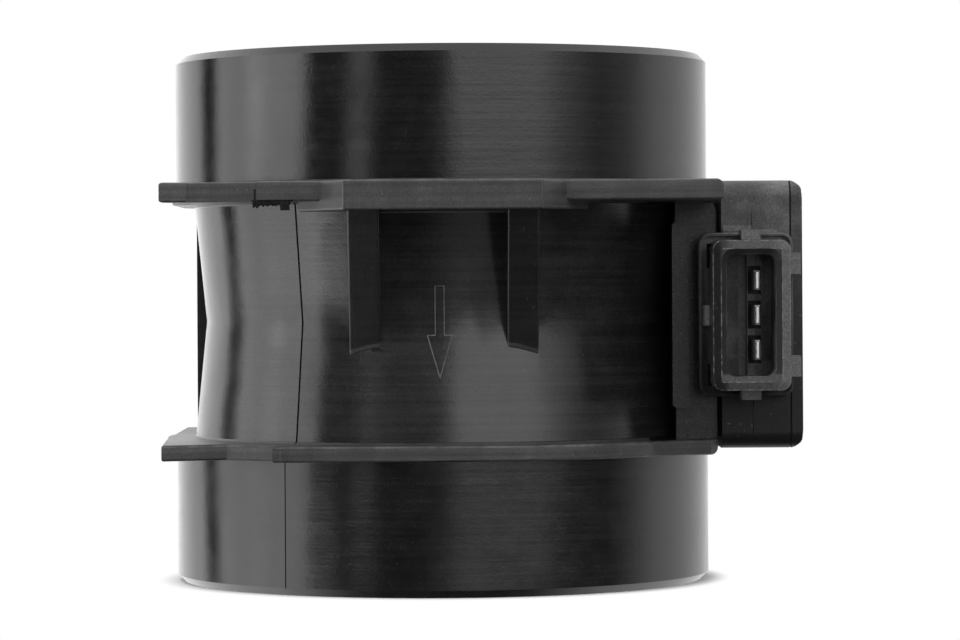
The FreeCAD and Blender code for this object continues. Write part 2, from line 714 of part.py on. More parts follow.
def plug_taper(front, back):
    """Solid between two round-cornered rectangles, each a width, a height, its y and a radius."""
    wires = []
    for width, height, y, radius in (front, back):
        solid = plug_block(width, height, (y, y + OVERCUT), radius)
        near = [face for face in solid.Faces if face.BoundBox.YMax < y + 0.01]
        wires.append(near[0].OuterWire)
    return Part.makeLoft(wires, True, True)


def plug_plate():
    """Plate at the socket's root, with a raised lip round its edge."""
    plate = plug_block(PLATE_W, PLATE_H, (PLATE_FRONT_Y, -BOX_HALF_Y), PLATE_CORNER_R)
    rim = [edge for edge in plate.Edges if edge.BoundBox.YMax < PLATE_FRONT_Y + 0.01]
    plate = plate.makeChamfer(PLATE_BEVEL, rim)
    sunk_y = (PLATE_FRONT_Y - OVERCUT, PLATE_FRONT_Y + PLATE_LIP_H)
    sunk = plug_block(PLATE_W - 2 * PLATE_LIP_W, PLATE_H - 2 * PLATE_LIP_W, sunk_y,
                      PLATE_CORNER_R - PLATE_LIP_W)
    return plate.cut(sunk)


def plug_shroud():
    """Base plate and shroud of the plug socket, with its keys, before its cavity is cut."""
    rim_y = SHROUD_FRONT_Y + SHROUD_RIM_DEPTH
    rim_w = SHROUD_W - 2 * SHROUD_RIM_W
    rim_h = SHROUD_H - 2 * SHROUD_RIM_W
    rim_r = SHROUD_CORNER_R - SHROUD_RIM_W
    shroud = plug_block(SHROUD_W, SHROUD_H, (rim_y, -BOX_HALF_Y), SHROUD_CORNER_R)
    rim = plug_taper((rim_w, rim_h, SHROUD_FRONT_Y, rim_r),
                     (SHROUD_W, SHROUD_H, rim_y, SHROUD_CORNER_R))
    key_y = (PLATE_FRONT_Y - KEY_REACH, PLATE_FRONT_Y + PLATE_LIP_H)
    x = about(PLUG_X, SHROUD_W)
    z = about(PLUG_Z, SHROUD_H)
    keys = [block(shifted(END_KEY_X, PLUG_X), key_y, grown(z, KEY_TALL)),
            block((x[0] - KEY_TALL / 2, PLUG_X), key_y, shifted(LEFT_KEY_Z, PLUG_Z))]
    for key_z in RIGHT_KEY_Z:
        keys.append(block((PLUG_X, x[1] + RIGHT_KEY_TALL), key_y, shifted(key_z, PLUG_Z)))
    slot_x = shifted(SLOT_X, PLUG_X)
    slot_y = (PLATE_FRONT_Y - SLOT_REACH, -BOX_HALF_Y)
    slots = [block(slot_x, slot_y, shifted(slot_z, PLUG_Z)) for slot_z in SLOT_Z]
    return plug_plate().fuse([shroud, rim] + keys).cut(slots).removeSplitter()


def plug_cavity():
    """Space for the mating plug, with a bevelled mouth."""
    y = (SHROUD_FRONT_Y - OVERCUT, CAVITY_FLOOR_Y)
    cavity = plug_block(CAVITY_W, CAVITY_H, y, CAVITY_CORNER_R)
    wide_w = CAVITY_W + 2 * CAVITY_MOUTH
    wide_h = CAVITY_H + 2 * CAVITY_MOUTH
    mouth = plug_taper((wide_w, wide_h, SHROUD_FRONT_Y, CAVITY_MOUTH_CORNER_R),
                       (CAVITY_W, CAVITY_H, SHROUD_FRONT_Y + CAVITY_MOUTH_DEPTH, CAVITY_CORNER_R))
    return cavity.fuse(mouth)


def ledges():
    """Low ledges on the box over the plate, which slope out from their tops."""
    foot_z = PLUG_Z + PLATE_H / 2 - OVERCUT
    solids = []
    for limits, tall, out in LEDGES:
        x = shifted(limits, PLUG_X)
        top_z = foot_z + OVERCUT + tall
        corners = [(-BOX_HALF_Y + OVERCUT, foot_z), (-BOX_HALF_Y + OVERCUT, top_z),
                   (-BOX_HALF_Y, top_z), (-BOX_HALF_Y - out, foot_z + OVERCUT + tall / 4),
                   (-BOX_HALF_Y - out, foot_z)]
        points = [FreeCAD.Vector(x[0], y, z) for y, z in corners]
        solids.append(Part.Face(Part.makePolygon(points + points[:1])).extrude(X_AXIS * (x[1] - x[0])))
    return solids


def pin_places():
    """Heights of the pins' centres."""
    return [PLUG_Z + (step - (PIN_COUNT - 1) / 2) * PIN_PITCH for step in range(PIN_COUNT)]


def pin_bar():
    """Raised bar on the cavity's floor, with a pocket around each pin."""
    y = (CAVITY_FLOOR_Y - BAR_RISE, CAVITY_FLOOR_Y + OVERCUT)
    return block(about(PIN_X, BAR_W), y, about(PLUG_Z, CAVITY_H + OVERCUT))


def pin_pockets():
    """Pockets around the pins, sunk into the bar."""
    y = (CAVITY_FLOOR_Y - BAR_RISE - OVERCUT, CAVITY_FLOOR_Y - BAR_RISE + POCKET_DEPTH)
    return [block(about(PIN_X, POCKET_W), y, about(z, POCKET_H)) for z in pin_places()]


def pin(z, margin):
    """Flat blade from the socket through the box's wall to the board."""
    y = (CAVITY_FLOOR_Y - PIN_REACH, -BOX_HALF_Y + BOX_WALL + PIN_TAIL)
    return block(about(PIN_X, PIN_T + 2 * margin), y, about(z, PIN_W + 2 * margin))


def terminal_pin(z):
    """Pin with a bevelled tip."""
    solid = pin(z, 0)
    tip = [edge for edge in solid.Edges if edge.BoundBox.YMax < CAVITY_FLOOR_Y - PIN_REACH + 0.01]
    return solid.makeChamfer(PIN_TIP_BEVEL, tip)


def box_outline(x):
    """Box between two limits along X, with its four long edges rounded."""
    return rounded(block(x, (-BOX_HALF_Y, BOX_HALF_Y), BOX_Z), X_AXIS, BOX_EDGE_R)


def box_inside(x, margin):
    """Room inside the box's walls, smaller all round by a margin."""
    inset = BOX_WALL + margin
    y = grown((-BOX_HALF_Y, BOX_HALF_Y), -inset)
    return rounded(block(x, y, grown(BOX_Z, -inset)), X_AXIS, BOX_EDGE_R - BOX_WALL)


def electronics_housing():
    """Box and plug socket, moulded in one piece and open towards its cover."""
    box = box_outline((BOX_X, BOX_RIM_X)).cut(box_inside((BOX_FLOOR_X, BOX_RIM_X + OVERCUT), 0))
    window = block(grown((BOX_X, BOX_FLOOR_X), OVERCUT), about(0, BOX_WINDOW_W),
                   about(FINGER_Z, BOX_WINDOW_H))
    box = box.cut([window] + screw_holes(SCREW_PASS_R, grown((BOX_X, BOX_FLOOR_X), OVERCUT)))
    socket = plug_shroud().cut(plug_cavity())
    bar = pin_bar().common(plug_block(CAVITY_W, CAVITY_H, (SHROUD_FRONT_Y, -BOX_HALF_Y),
                                      CAVITY_CORNER_R))
    solid = box.fuse([socket, bar] + ledges())
    return solid.cut(pin_pockets() + [pin(z, 0) for z in pin_places()]).removeSplitter()


def box_gasket():
    """Thin gasket between the pad and the box, with a window for the leads and holes for the screws."""
    x = (PAD_X, BOX_X)
    z = grown((LOWER_TOP_Z, UPPER_FLANGE_Z), -BOX_GASKET_EDGE)
    sheet = block(x, grown((-PAD_HALF_Y, PAD_HALF_Y), -BOX_GASKET_SIDE), z)
    window = block(grown(x, OVERCUT), about(0, BOX_WINDOW_W), about(FINGER_Z, BOX_WINDOW_H))
    return sheet.cut([window] + screw_holes(SCREW_PASS_R, grown(x, OVERCUT)))


def electronics_cover():
    """Lid with a rounded outer corner above and below, and a lip that fits inside the box."""
    outer_x = COVER_X + COVER_T
    half_y = BOX_HALF_Y + OVERCUT
    corners = [(COVER_X, BOX_Z[0])]
    corners += [(outer_x - across, BOX_Z[0] + down) for across, down in COVER_CORNER]
    corners += [(outer_x - across, BOX_Z[1] - down) for across, down in reversed(COVER_CORNER)]
    corners.append((COVER_X, BOX_Z[1]))
    points = [FreeCAD.Vector(x, -half_y, z) for x, z in corners]
    profile = Part.Face(Part.makePolygon(points + points[:1])).extrude(Y_AXIS * 2 * half_y)
    plate = box_outline((COVER_X, outer_x)).common(profile)
    lip_x = (COVER_X - COVER_LIP_DEPTH, COVER_X)
    hollow = box_inside(grown(lip_x, OVERCUT), COVER_LIP_FIT + COVER_LIP_T)
    lip = box_inside(lip_x, COVER_LIP_FIT).cut(hollow)
    return plate.fuse(lip).removeSplitter()


def cover_seal():
    """Bead in the joint between the box's rim and its cover."""
    x = (BOX_RIM_X, COVER_X)
    inset = COVER_JOINT_INSET
    ring = block(x, grown((-BOX_HALF_Y, BOX_HALF_Y), -inset), grown(BOX_Z, -inset))
    ring = rounded(ring, X_AXIS, BOX_EDGE_R - inset)
    return ring.cut(box_inside(grown(x, OVERCUT), 0))


# Board and what stands on it

def base_plate():
    """Metal plate under the board, with a window for the leads."""
    x = (BOX_FLOOR_X, BOARD_X)
    y = grown((-BOARD_HALF_Y, BOARD_HALF_Y), BASE_PLATE_MARGIN)
    sheet = block(x, y, grown(BOARD_Z, BASE_PLATE_MARGIN))
    window = block(grown(x, OVERCUT), about(0, BOARD_WINDOW_W), about(FINGER_Z, BOARD_WINDOW_H))
    return sheet.cut(window)


def circuit_board():
    """Ceramic board under the pins' inner ends, with a window for the leads."""
    x = (BOARD_X, BOARD_TOP_X)
    sheet = block(x, (-BOARD_HALF_Y, BOARD_HALF_Y), BOARD_Z)
    window = block(grown(x, OVERCUT), about(0, BOARD_WINDOW_W), about(FINGER_Z, BOARD_WINDOW_H))
    return sheet.cut(window)


def board_part(y, from_edge, size_y, size_z, tall):
    """Small component that stands on the board, with its outer edges taken off."""
    z = (BOARD_Z[0] if from_edge > 0 else BOARD_Z[1]) + from_edge
    solid = block((BOARD_TOP_X, BOARD_TOP_X + tall), about(y, size_y), about(z, size_z))
    top = [edge for edge in solid.Edges if edge.BoundBox.XMin > BOARD_TOP_X + tall - 0.01]
    return solid.makeChamfer(CHIP_EDGE, top)


def housing_screws():
    """Four equal screws from the box's floor into the pad."""
    screws = []
    for y, z in screw_places():
        seat = FreeCAD.Vector(BOX_FLOOR_X, y, z)
        head = Part.makeCylinder(SCREW_HEAD_R, SCREW_HEAD_H, seat, X_AXIS)
        rim = [edge for edge in head.Edges if edge.BoundBox.XMin > BOX_FLOOR_X + SCREW_HEAD_H - 0.01]
        head = head.makeChamfer(SCREW_HEAD_BEVEL, rim)
        shank = Part.makeCylinder(SCREW_R, SCREW_LENGTH, seat, X_AXIS * -1)
        slot_x = (BOX_FLOOR_X + SCREW_HEAD_H - SCREW_SLOT_DEPTH, BOX_FLOOR_X + SCREW_HEAD_H + OVERCUT)
        slots = [block(slot_x, about(y, SCREW_SLOT_L), about(z, SCREW_SLOT_W)),
                 block(slot_x, about(y, SCREW_SLOT_W), about(z, SCREW_SLOT_L))]
        screws.append(head.fuse(shank).cut(slots).removeSplitter())
    return Part.makeCompound(screws)


def build():
    """Every piece by its node's name."""
    parts = {
        "duct_housing": duct_housing(),
        "straightener_grid": straightener_grid(),
        "inlet_mesh": inlet_mesh(),
        "mesh_retaining_ring": mesh_retaining_ring(),
        "sensor_finger": sensor_finger(),
        "finger_cover": cover_room(FINGER_COVER_FIT),
        "finger_seal": finger_seal(),
        "hot_film_element": film_plate(-1, HOT_FILM_REACH, 0),
        "air_temperature_element": film_plate(1, AIR_FILM_REACH, 0),
        "sensor_lead_frame": sensor_lead_frame(),
        "electronics_housing": electronics_housing(),
        "box_gasket": box_gasket(),
        "electronics_cover": electronics_cover(),
        "cover_seal": cover_seal(),
        "base_plate": base_plate(),
        "circuit_board": circuit_board(),
        "housing_screws": housing_screws(),
    }
    for number, z in enumerate(pin_places(), 1):
        parts[f"terminal_pin_{number}"] = terminal_pin(z)
    for name, place in PARTS_ON_BOARD.items():
        parts[name] = board_part(*place)
    return parts


os.makedirs("parts", exist_ok=True)
for node, shape in build().items():
    shape.exportStep(f"parts/{node}.step")
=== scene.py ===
import bpy
import bmesh
import json
import math
import random
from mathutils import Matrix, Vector


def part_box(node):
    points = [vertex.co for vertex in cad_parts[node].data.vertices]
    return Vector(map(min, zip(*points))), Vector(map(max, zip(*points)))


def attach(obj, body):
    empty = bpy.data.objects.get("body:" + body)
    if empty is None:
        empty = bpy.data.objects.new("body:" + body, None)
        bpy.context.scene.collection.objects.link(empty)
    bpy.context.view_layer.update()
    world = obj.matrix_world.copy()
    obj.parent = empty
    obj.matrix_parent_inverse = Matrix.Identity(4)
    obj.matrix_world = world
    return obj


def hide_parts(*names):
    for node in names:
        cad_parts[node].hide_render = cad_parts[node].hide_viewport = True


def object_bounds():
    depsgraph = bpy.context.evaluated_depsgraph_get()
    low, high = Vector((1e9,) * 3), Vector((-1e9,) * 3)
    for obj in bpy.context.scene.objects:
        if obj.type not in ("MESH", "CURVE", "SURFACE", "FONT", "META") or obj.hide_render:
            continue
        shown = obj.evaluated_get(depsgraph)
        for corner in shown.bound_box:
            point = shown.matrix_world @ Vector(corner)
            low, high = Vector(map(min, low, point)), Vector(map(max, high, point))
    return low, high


# A mass airflow sensor: a black moulded duct with an electronics box and a plug socket on its side.
# Lengths are in metres, and MM turns a size in millimetres into them.

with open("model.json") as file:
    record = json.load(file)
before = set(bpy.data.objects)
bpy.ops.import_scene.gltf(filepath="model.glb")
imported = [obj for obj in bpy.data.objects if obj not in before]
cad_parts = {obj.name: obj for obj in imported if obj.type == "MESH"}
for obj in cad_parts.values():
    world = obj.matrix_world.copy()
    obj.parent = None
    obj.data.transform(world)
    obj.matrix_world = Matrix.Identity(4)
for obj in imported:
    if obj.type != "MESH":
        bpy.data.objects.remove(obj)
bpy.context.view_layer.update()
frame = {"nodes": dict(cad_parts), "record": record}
NODES = frame["nodes"]
SLOT_OF = {part["node"]: part["material_slot"] for part in frame["record"]["subparts"]}
MM = 0.001

# Sizes of the duct, its clip block and its inlet mesh, as their solids have them
WAIST_R = 35.5 * MM
SHOULDER_R = 37.2 * MM
WAIST_Z = 38.9 * MM
WAIST_HALF_H = 17.3 * MM
LOWER_FLANGE_Z = (19.3 * MM, 21.6 * MM)
UPPER_FLANGE_Z = (56.2 * MM, 59.1 * MM)
BLOCK_LOW_Z = 54.8 * MM
MESH_R = 37.2 * MM

# Zones of the duct. A surface is grainy where it stands proud of the waist, from the lower flange to
# just over the upper one, and a rib, such as a gusset or the pad, where it stands out further. The
# ribs' tone is painted shade on their faces, and lies over the gussets' and the pad's own painted
# shade, which show only beside it. The edge glints are painted highlights, the pale lines along the
# flanges' top edges.
GRAIN_RISE = 0.06 * MM
GRAIN_OVER_TOP = 0.32 * MM
RIB_RISE = 0.4 * MM
GUSSET_Z = (38.0 * MM, 54.5 * MM)
PAD_X = 30.0 * MM
BLOCK_EDGE_HIGHLIGHT_Y = -30.0 * MM
FRONT_Y = -36.5 * MM
FLANGE_GLINT_EDGES = [
    {"z": (21.25 * MM, 21.45 * MM), "soft": 0.06 * MM},
    {"z": (59.0 * MM, 59.2 * MM), "soft": 0.08 * MM},
]

# Fields on the duct's front, in millimetres across and up, with the widths of their soft edges across
# and up: the painted highlight on the flow arrow, the painted shadow on the torn flash and in the crack
# above it, and the painted highlight along the clip block's lower edge
ARROW_HIGHLIGHT_FIELD = {"x": (-2.4, 1.8), "z": (30.6, 44.5), "soft": ((0.1, 0.1), (0.1, 0.1))}
TORN_SHADOW_FIELD = {"x": (-26.9, -20.9), "z": (54.9, 56.42), "soft": ((0.05, 0.05), (0.05, 0.05))}
CRACK_SHADOW_FIELD = {"x": (-26.55, -26.3), "z": (56.4, 57.9), "soft": ((0.06, 0.06), (0.05, 0.2))}
BLOCK_EDGE_HIGHLIGHT_FIELD = {"x": (-8.6, 9.2), "z": (54.56, 54.76), "soft": ((0.1, 0.1), (0.05, 0.05))}

# Tones of the duct as linear greys, the factors between which its mottling moves them, and its
# roughness. The collars' roughness goes from the first value at the lower end to the second at the
# upper.
# Of these tones, the waist's is painted light, the gusset's, pad's and rib's are painted shade, the
# arrow's is a painted highlight and the torn flash's is painted shadow
DUCT_TONES = {"collar": 0.010, "waist": 0.020, "grainy": 0.048, "gusset": 0.007, "pad": 0.009,
              "arrow_highlight": 0.09, "rib_shade": 0.012, "torn_shadow": 0.0015}
DUCT_MOTTLE = {"streak": (0.75, 1.3), "fine": (0.75, 1.25), "cloud": (0.85, 1.18)}
SCUFF_TONE = 0.02
SPECK_TONE = 0.05
# Tone of the painted highlights along the flanges' top edges
EDGE_GLINT_TONE = 0.045
COLLAR_ROUGHNESS_Z = (15.0 * MM, 62.0 * MM)
COLLAR_ROUGHNESS = (0.175, 0.14)
GRAIN_ROUGHNESS = (0.36, 0.46)
GUSSET_ROUGHNESS = 0.34
PAD_ROUGHNESS = 0.24
TORN_SHADOW_ROUGHNESS = 1.0

# Plug socket: its centre across and up, and the half sizes of its shroud and mouth. Its tones start
# at SOCKET_Y, and the front of its rim at RIM_Y. RIM_EDGES are the rim's two painted highlight lines,
# as distances in from the shroud's outline. Across the rim the painted shade on the left turns to
# painted light on the right within RIM_TURN_X, and the ends have a painted light of their own in the
# middle, as RIM_END_X says. BAR_X is the upright bar behind the pins, and the sill, which has painted
# light on it, lies SILL_DROP or more below the centre.
PLUG_CENTRE = (44.05 * MM, 39.7 * MM)
SHROUD_HALF = (5.55 * MM, 10.7 * MM)
SHROUD_CORNER_R = 1.4 * MM
MOUTH_HALF = (4.25 * MM, 9.45 * MM)
RIM_W = 1.25 * MM
RIM_EDGES = ((0.03 * MM, 0.13 * MM), (1.16 * MM, 1.26 * MM))
SOCKET_Y = (-25.9 * MM, -26.1 * MM)
RIM_Y = (-35.4 * MM, -35.6 * MM)
RIM_TURN_X = (-4.0 * MM, 4.0 * MM)
RIM_END_X = (4.2 * MM, 2.6 * MM)
BAR_X = (-1.15 * MM, 1.0 * MM)
SILL_DROP = 8.4 * MM
SOCKET_TONES = {"shroud": 0.030, "key": 0.15, "bar": 0.11, "patches": (0.03, 0.12), "sill_light": 0.075,
                "rim_left_shade": 0.010, "rim_right_light": 0.085, "rim_ends_light": 0.060, "rim_edge_highlight": 0.15}
SOCKET_ROUGHNESS = 0.33

# Heights between which the box grows paler, from painted shade at the bottom to painted light at the
# top
BOX_SHADE_Z = (24.0 * MM, 57.0 * MM)

# Camera: in front of the duct's axis, level with the upper waist, and rolled a third of a degree. Its
# shift is in pixels over the picture's width.
PICTURE_W = 960.0
CAMERA_PLACE = (0.27 * MM, -593.0 * MM, 45.68 * MM)
CAMERA_LENS = 147.0
CAMERA_ROLL = 0.35
CAMERA_SHIFT = (36.5 / PICTURE_W, -45.0 / PICTURE_W)

# Studio seen in the gloss, in degrees: azimuth 0 is towards the camera and grows to the right. Each
# light has its limits across, the widths of its soft edges, and the elevations between which it comes
# in and, where it has a top, goes out again.
DARK_FRONT = 0.03
LIGHTS = [
    {"az": (-111.0, -61.0), "edge": (3.0, 2.0), "el": (-28.0, -18.0), "level": 2.1},
    {"az": (-88.0, -61.0), "edge": (9.0, 2.0), "el": (-1.5, 1.0), "top": (4.0, 7.0), "level": 1.0},
    {"az": (-90.0, -61.0), "edge": (8.0, 2.0), "el": (-6.0, -9.0), "level": 1.0},
    {"az": (-61.0, -49.0), "edge": (3.0, 4.0), "el": (-6.0, -9.0), "level": 2.4},
    {"az": (-89.0, -83.0), "edge": (2.0, 3.0), "el": (-3.0, 1.0), "top": (4.0, 7.0), "level": 0.9},
    {"az": (-128.0, -112.0), "edge": (3.0, 3.0), "el": (-7.0, -10.0), "level": 1.0},
    {"az": (-128.0, -112.0), "edge": (3.0, 3.0), "el": (5.0, 8.0), "level": 0.5},
    {"az": (-127.0, -122.0), "edge": (5.0, 1.5), "el": (-8.0, -6.0), "top": (-1.5, 0.5), "level": 0.6},
    {"az": (-57.0, -50.0), "edge": (3.0, 6.0), "el": (-8.0, -6.0), "top": (-1.5, 0.5), "level": 0.35},
    {"az": (-36.5, -31.5), "edge": (6.5, 3.5), "el": (-4.0, 0.0), "top": (5.0, 8.0), "level": 1.5},
    {"az": (-30.0, -4.0), "edge": (6.0, 12.0), "el": (4.0, 8.0), "level": 0.22},
    {"az": (6.0, 38.0), "edge": (4.0, 35.0), "el": (-4.5, 6.0), "level": 1.86},
    {"az": (64.0, 78.0), "edge": (14.0, 10.0), "el": (-2.0, 1.0), "level": 0.24},
    {"az": (10.0, 40.0), "edge": (20.0, 15.0), "el": (-40.0, -10.0), "level": 0.27},
]

# Pale backdrop that reaches round behind the object on either side, pale ceiling and dark ground
BACKDROP_LEFT = {"az": (-127.5, -122.5), "level": 1.4}
BACKDROP_RIGHT = {"az": (72.0, 108.0), "level": 1.02}
OVERHEAD = {"el": (35.0, 60.0), "level": 1.1}
UNDERFOOT = {"el": (-75.0, -50.0), "level": 0.05}

# Soft light that the matt surfaces take from the room, from below and from above
ROOM_FILL = {"el": (-10.0, 30.0), "level": (0.3, 1.0)}


def add(tree, kind, inputs=None, **settings):
    """New node with its settings, and its inputs set to values or linked to sockets."""
    made = tree.nodes.new(kind)
    for name, value in settings.items():
        setattr(made, name, value)
    for key, value in (inputs or {}).items():
        if isinstance(value, bpy.types.NodeSocket):
            tree.links.new(value, made.inputs[key])
        else:
            made.inputs[key].default_value = value
    return made


def maths(tree, operation, a, b=0.0, c=0.0):
    """Result of a Math node."""
    return add(tree, "ShaderNodeMath", {0: a, 1: b, 2: c}, operation=operation).outputs[0]


def product(tree, first, *others):
    """Product of two or more values."""
    for other in others:
        first = maths(tree, "MULTIPLY", first, other)
    return first


def over(tree, value, limit):
    """1 where the value is greater than the limit."""
    return maths(tree, "GREATER_THAN", value, limit)


def under(tree, value, limit):
    """1 where the value is less than the limit."""
    return maths(tree, "LESS_THAN", value, limit)


def ramp(tree, value, start, end, low=0.0, high=1.0):
    """Smooth change from low to high as the value goes from start to end."""
    inputs = {"Value": value, "From Min": start, "From Max": end, "To Min": low, "To Max": high}
    made = add(tree, "ShaderNodeMapRange", inputs, interpolation_type="SMOOTHSTEP")
    return made.outputs["Result"]


def inside(tree, value, limits, edge):
    """1 where the value is between two limits, with a soft edge on either side."""
    rise = ramp(tree, value, limits[0] - edge[0], limits[0])
    fall = ramp(tree, value, limits[1], limits[1] + edge[1], 1.0, 0.0)
    return product(tree, rise, fall)


def noise(tree, place, scale, detail=3.0, roughness=0.55):
    """Noise from 0 to 1 at a scale per metre."""
    inputs = {"Vector": place, "Scale": scale, "Detail": detail, "Roughness": roughness}
    return add(tree, "ShaderNodeTexNoise", inputs).outputs[0]


def scaled(tree, place, factors):
    """Coordinates multiplied along each axis."""
    return add(tree, "ShaderNodeVectorMath", {0: place, 1: factors}, operation="MULTIPLY").outputs[0]


def mix(tree, factor, a, b):
    """Value between a and b."""
    return add(tree, "ShaderNodeMix", {0: factor, 2: a, 3: b}, data_type="FLOAT").outputs[0]


def grey(tree, value, tint=(1.0, 1.0, 1.0)):
    """Colour from one value and a tint."""
    parts = {i: product(tree, value, share) for i, share in enumerate(tint)}
    return add(tree, "ShaderNodeCombineColor", parts).outputs[0]


def blank(name):
    """Material with one Principled shader, its tree and the object coordinates."""
    material = bpy.data.materials.new(name)
    material.use_nodes = True
    tree = material.node_tree
    shader = tree.nodes["Principled BSDF"]
    place = tree.nodes.new("ShaderNodeTexCoord").outputs["Object"]
    return material, tree, shader, place


def bump(tree, shader, heights):
    """Relief from a list of (height, depth in metres)."""
    normal = None
    for height, depth in heights:
        inputs = {"Height": height, "Distance": depth, "Strength": 1.0}
        if normal is not None:
            inputs["Normal"] = normal
        normal = add(tree, "ShaderNodeBump", inputs).outputs[0]
    tree.links.new(normal, shader.inputs["Normal"])


# Duct material

def metres(sizes):
    """Lengths in metres, from sizes in millimetres."""
    return [size * MM for size in sizes]


def field(tree, x, z, spot):
    """1 on a field of the front, across and up."""
    across = inside(tree, x, metres(spot["x"]), metres(spot["soft"][0]))
    up = inside(tree, z, metres(spot["z"]), metres(spot["soft"][1]))
    return product(tree, across, up)


def duct_zones(tree, place, x, y, z):
    """Masks of the duct's zones, by name."""
    flat = scaled(tree, place, (1.0, 1.0, 0.0))
    radius = add(tree, "ShaderNodeVectorMath", {0: flat}, operation="LENGTH").outputs["Value"]
    slope = (SHOULDER_R - WAIST_R) / WAIST_HALF_H
    rise = product(tree, maths(tree, "ABSOLUTE", maths(tree, "SUBTRACT", z, WAIST_Z)), slope)
    proud = over(tree, radius, maths(tree, "ADD", rise, WAIST_R + GRAIN_RISE))
    grainy = product(tree, proud, over(tree, z, LOWER_FLANGE_Z[0]),
                     under(tree, z, UPPER_FLANGE_Z[1] + GRAIN_OVER_TOP))
    # Ribs get painted shade on their faces
    rib_shade = inside(tree, z, (LOWER_FLANGE_Z[1] + 0.1 * MM, BLOCK_LOW_Z), (0.1 * MM, 0.2 * MM))
    rib_shade = product(tree, rib_shade, over(tree, radius, maths(tree, "ADD", rise, WAIST_R + RIB_RISE)), grainy)
    waist = inside(tree, z, (LOWER_FLANGE_Z[1], UPPER_FLANGE_Z[0] - 0.1 * MM), (0.1 * MM, 0.1 * MM))
    front = under(tree, y, FRONT_Y)
    # Painted highlights along the flanges' top edges
    edge_glint = [inside(tree, z, edge["z"], (edge["soft"], edge["soft"])) for edge in FLANGE_GLINT_EDGES]
    # Painted shadow on the torn flash and in the crack above it
    torn_shadow = maths(tree, "MAXIMUM", field(tree, x, z, TORN_SHADOW_FIELD), field(tree, x, z, CRACK_SHADOW_FIELD))
    return {
        "grainy": grainy,
        "rib_shade": rib_shade,
        "waist": waist,
        "gusset": product(tree, grainy, front, inside(tree, z, GUSSET_Z, (0.1 * MM, 0.2 * MM))),
        "pad": product(tree, grainy, waist, over(tree, x, PAD_X)),
        # Painted highlight on the flow arrow's ridge
        "arrow_highlight": product(tree, grainy, field(tree, x, z, ARROW_HIGHLIGHT_FIELD)),
        "block_edge_highlight": product(tree, field(tree, x, z, BLOCK_EDGE_HIGHLIGHT_FIELD), under(tree, y, BLOCK_EDGE_HIGHLIGHT_Y)),
        "edge_glint": product(tree, maths(tree, "ADD", *edge_glint), grainy),
        "torn_shadow": product(tree, torn_shadow, front),
    }


def duct_grain(tree, place):
    """Noises of the duct's finish, by name. Streak and wide run around the duct."""
    scuff = noise(tree, scaled(tree, place, (900.0, 900.0, 120.0)), 1.0, 2.0, 0.5)
    return {
        "streak": noise(tree, scaled(tree, place, (22.0, 22.0, 1500.0)), 1.0, 5.0, 0.6),
        "wide": noise(tree, scaled(tree, place, (18.0, 18.0, 160.0)), 1.0, 3.0),
        "blotch": noise(tree, place, 90.0, 4.0),
        "cloud": noise(tree, place, 260.0, 4.0, 0.65),
        "fine": noise(tree, place, 3200.0, 3.0, 0.75),
        "scuff": ramp(tree, scuff, 0.72, 0.78, 0.0, SCUFF_TONE),
        "speck": ramp(tree, noise(tree, place, 1500.0, 1.0), 0.75, 0.79, 0.0, SPECK_TONE),
    }


def duct_tone(tree, zones, grain):
    """Grey of the duct, from its zones, its mottling and its marks, with painted light, shade and
    highlights.
    """
    # The waist's paler tone is painted light, lifting the shade between the flanges
    tone = mix(tree, zones["waist"], DUCT_TONES["collar"], DUCT_TONES["waist"])
    # Over the base tone, the gussets', the pad's and the ribs' tones are painted shade, and the arrow's
    # is a painted highlight
    for zone in ("grainy", "gusset", "pad", "arrow_highlight", "rib_shade"):
        tone = mix(tree, zones[zone], tone, DUCT_TONES[zone])
    for name, (low, high) in DUCT_MOTTLE.items():
        tone = product(tree, tone, ramp(tree, grain[name], 0.3, 0.7, low, high))
    marks = maths(tree, "ADD", grain["scuff"], grain["speck"])
    tone = maths(tree, "MULTIPLY_ADD", marks, mix(tree, zones["grainy"], 0.35, 1.0), tone)
    # Painted highlight along the clip block's lower edge, broken by the blotch noise
    edge = product(tree, zones["block_edge_highlight"], ramp(tree, grain["blotch"], 0.4, 0.5, 0.02, 0.12))
    # Painted highlights along the flanges' top edges, broken by the cloud noise
    edge_glint = product(tree, zones["edge_glint"], ramp(tree, grain["cloud"], 0.4, 0.6, 0.1, 1.0), EDGE_GLINT_TONE)
    tone = maths(tree, "ADD", maths(tree, "ADD", tone, edge), edge_glint)
    # Near-black painted shadow on the torn flash and in the crack above it
    return mix(tree, zones["torn_shadow"], tone, DUCT_TONES["torn_shadow"])


def duct_roughness(tree, zones, grain, z):
    """Roughness of the duct, low round the collars and waist and higher on the grainy parts."""
    smooth = ramp(tree, z, *COLLAR_ROUGHNESS_Z, *COLLAR_ROUGHNESS)
    smooth = maths(tree, "ADD", smooth, ramp(tree, grain["blotch"], 0.4, 0.75, -0.01, 0.05))
    smooth = maths(tree, "ADD", smooth, ramp(tree, grain["cloud"], 0.35, 0.7, -0.02, 0.03))
    rough = mix(tree, grain["blotch"], *GRAIN_ROUGHNESS)
    rough = mix(tree, zones["gusset"], rough, GUSSET_ROUGHNESS)
    rough = mix(tree, zones["pad"], rough, PAD_ROUGHNESS)
    rough = mix(tree, zones["torn_shadow"], rough, TORN_SHADOW_ROUGHNESS)
    return mix(tree, zones["grainy"], smooth, rough)


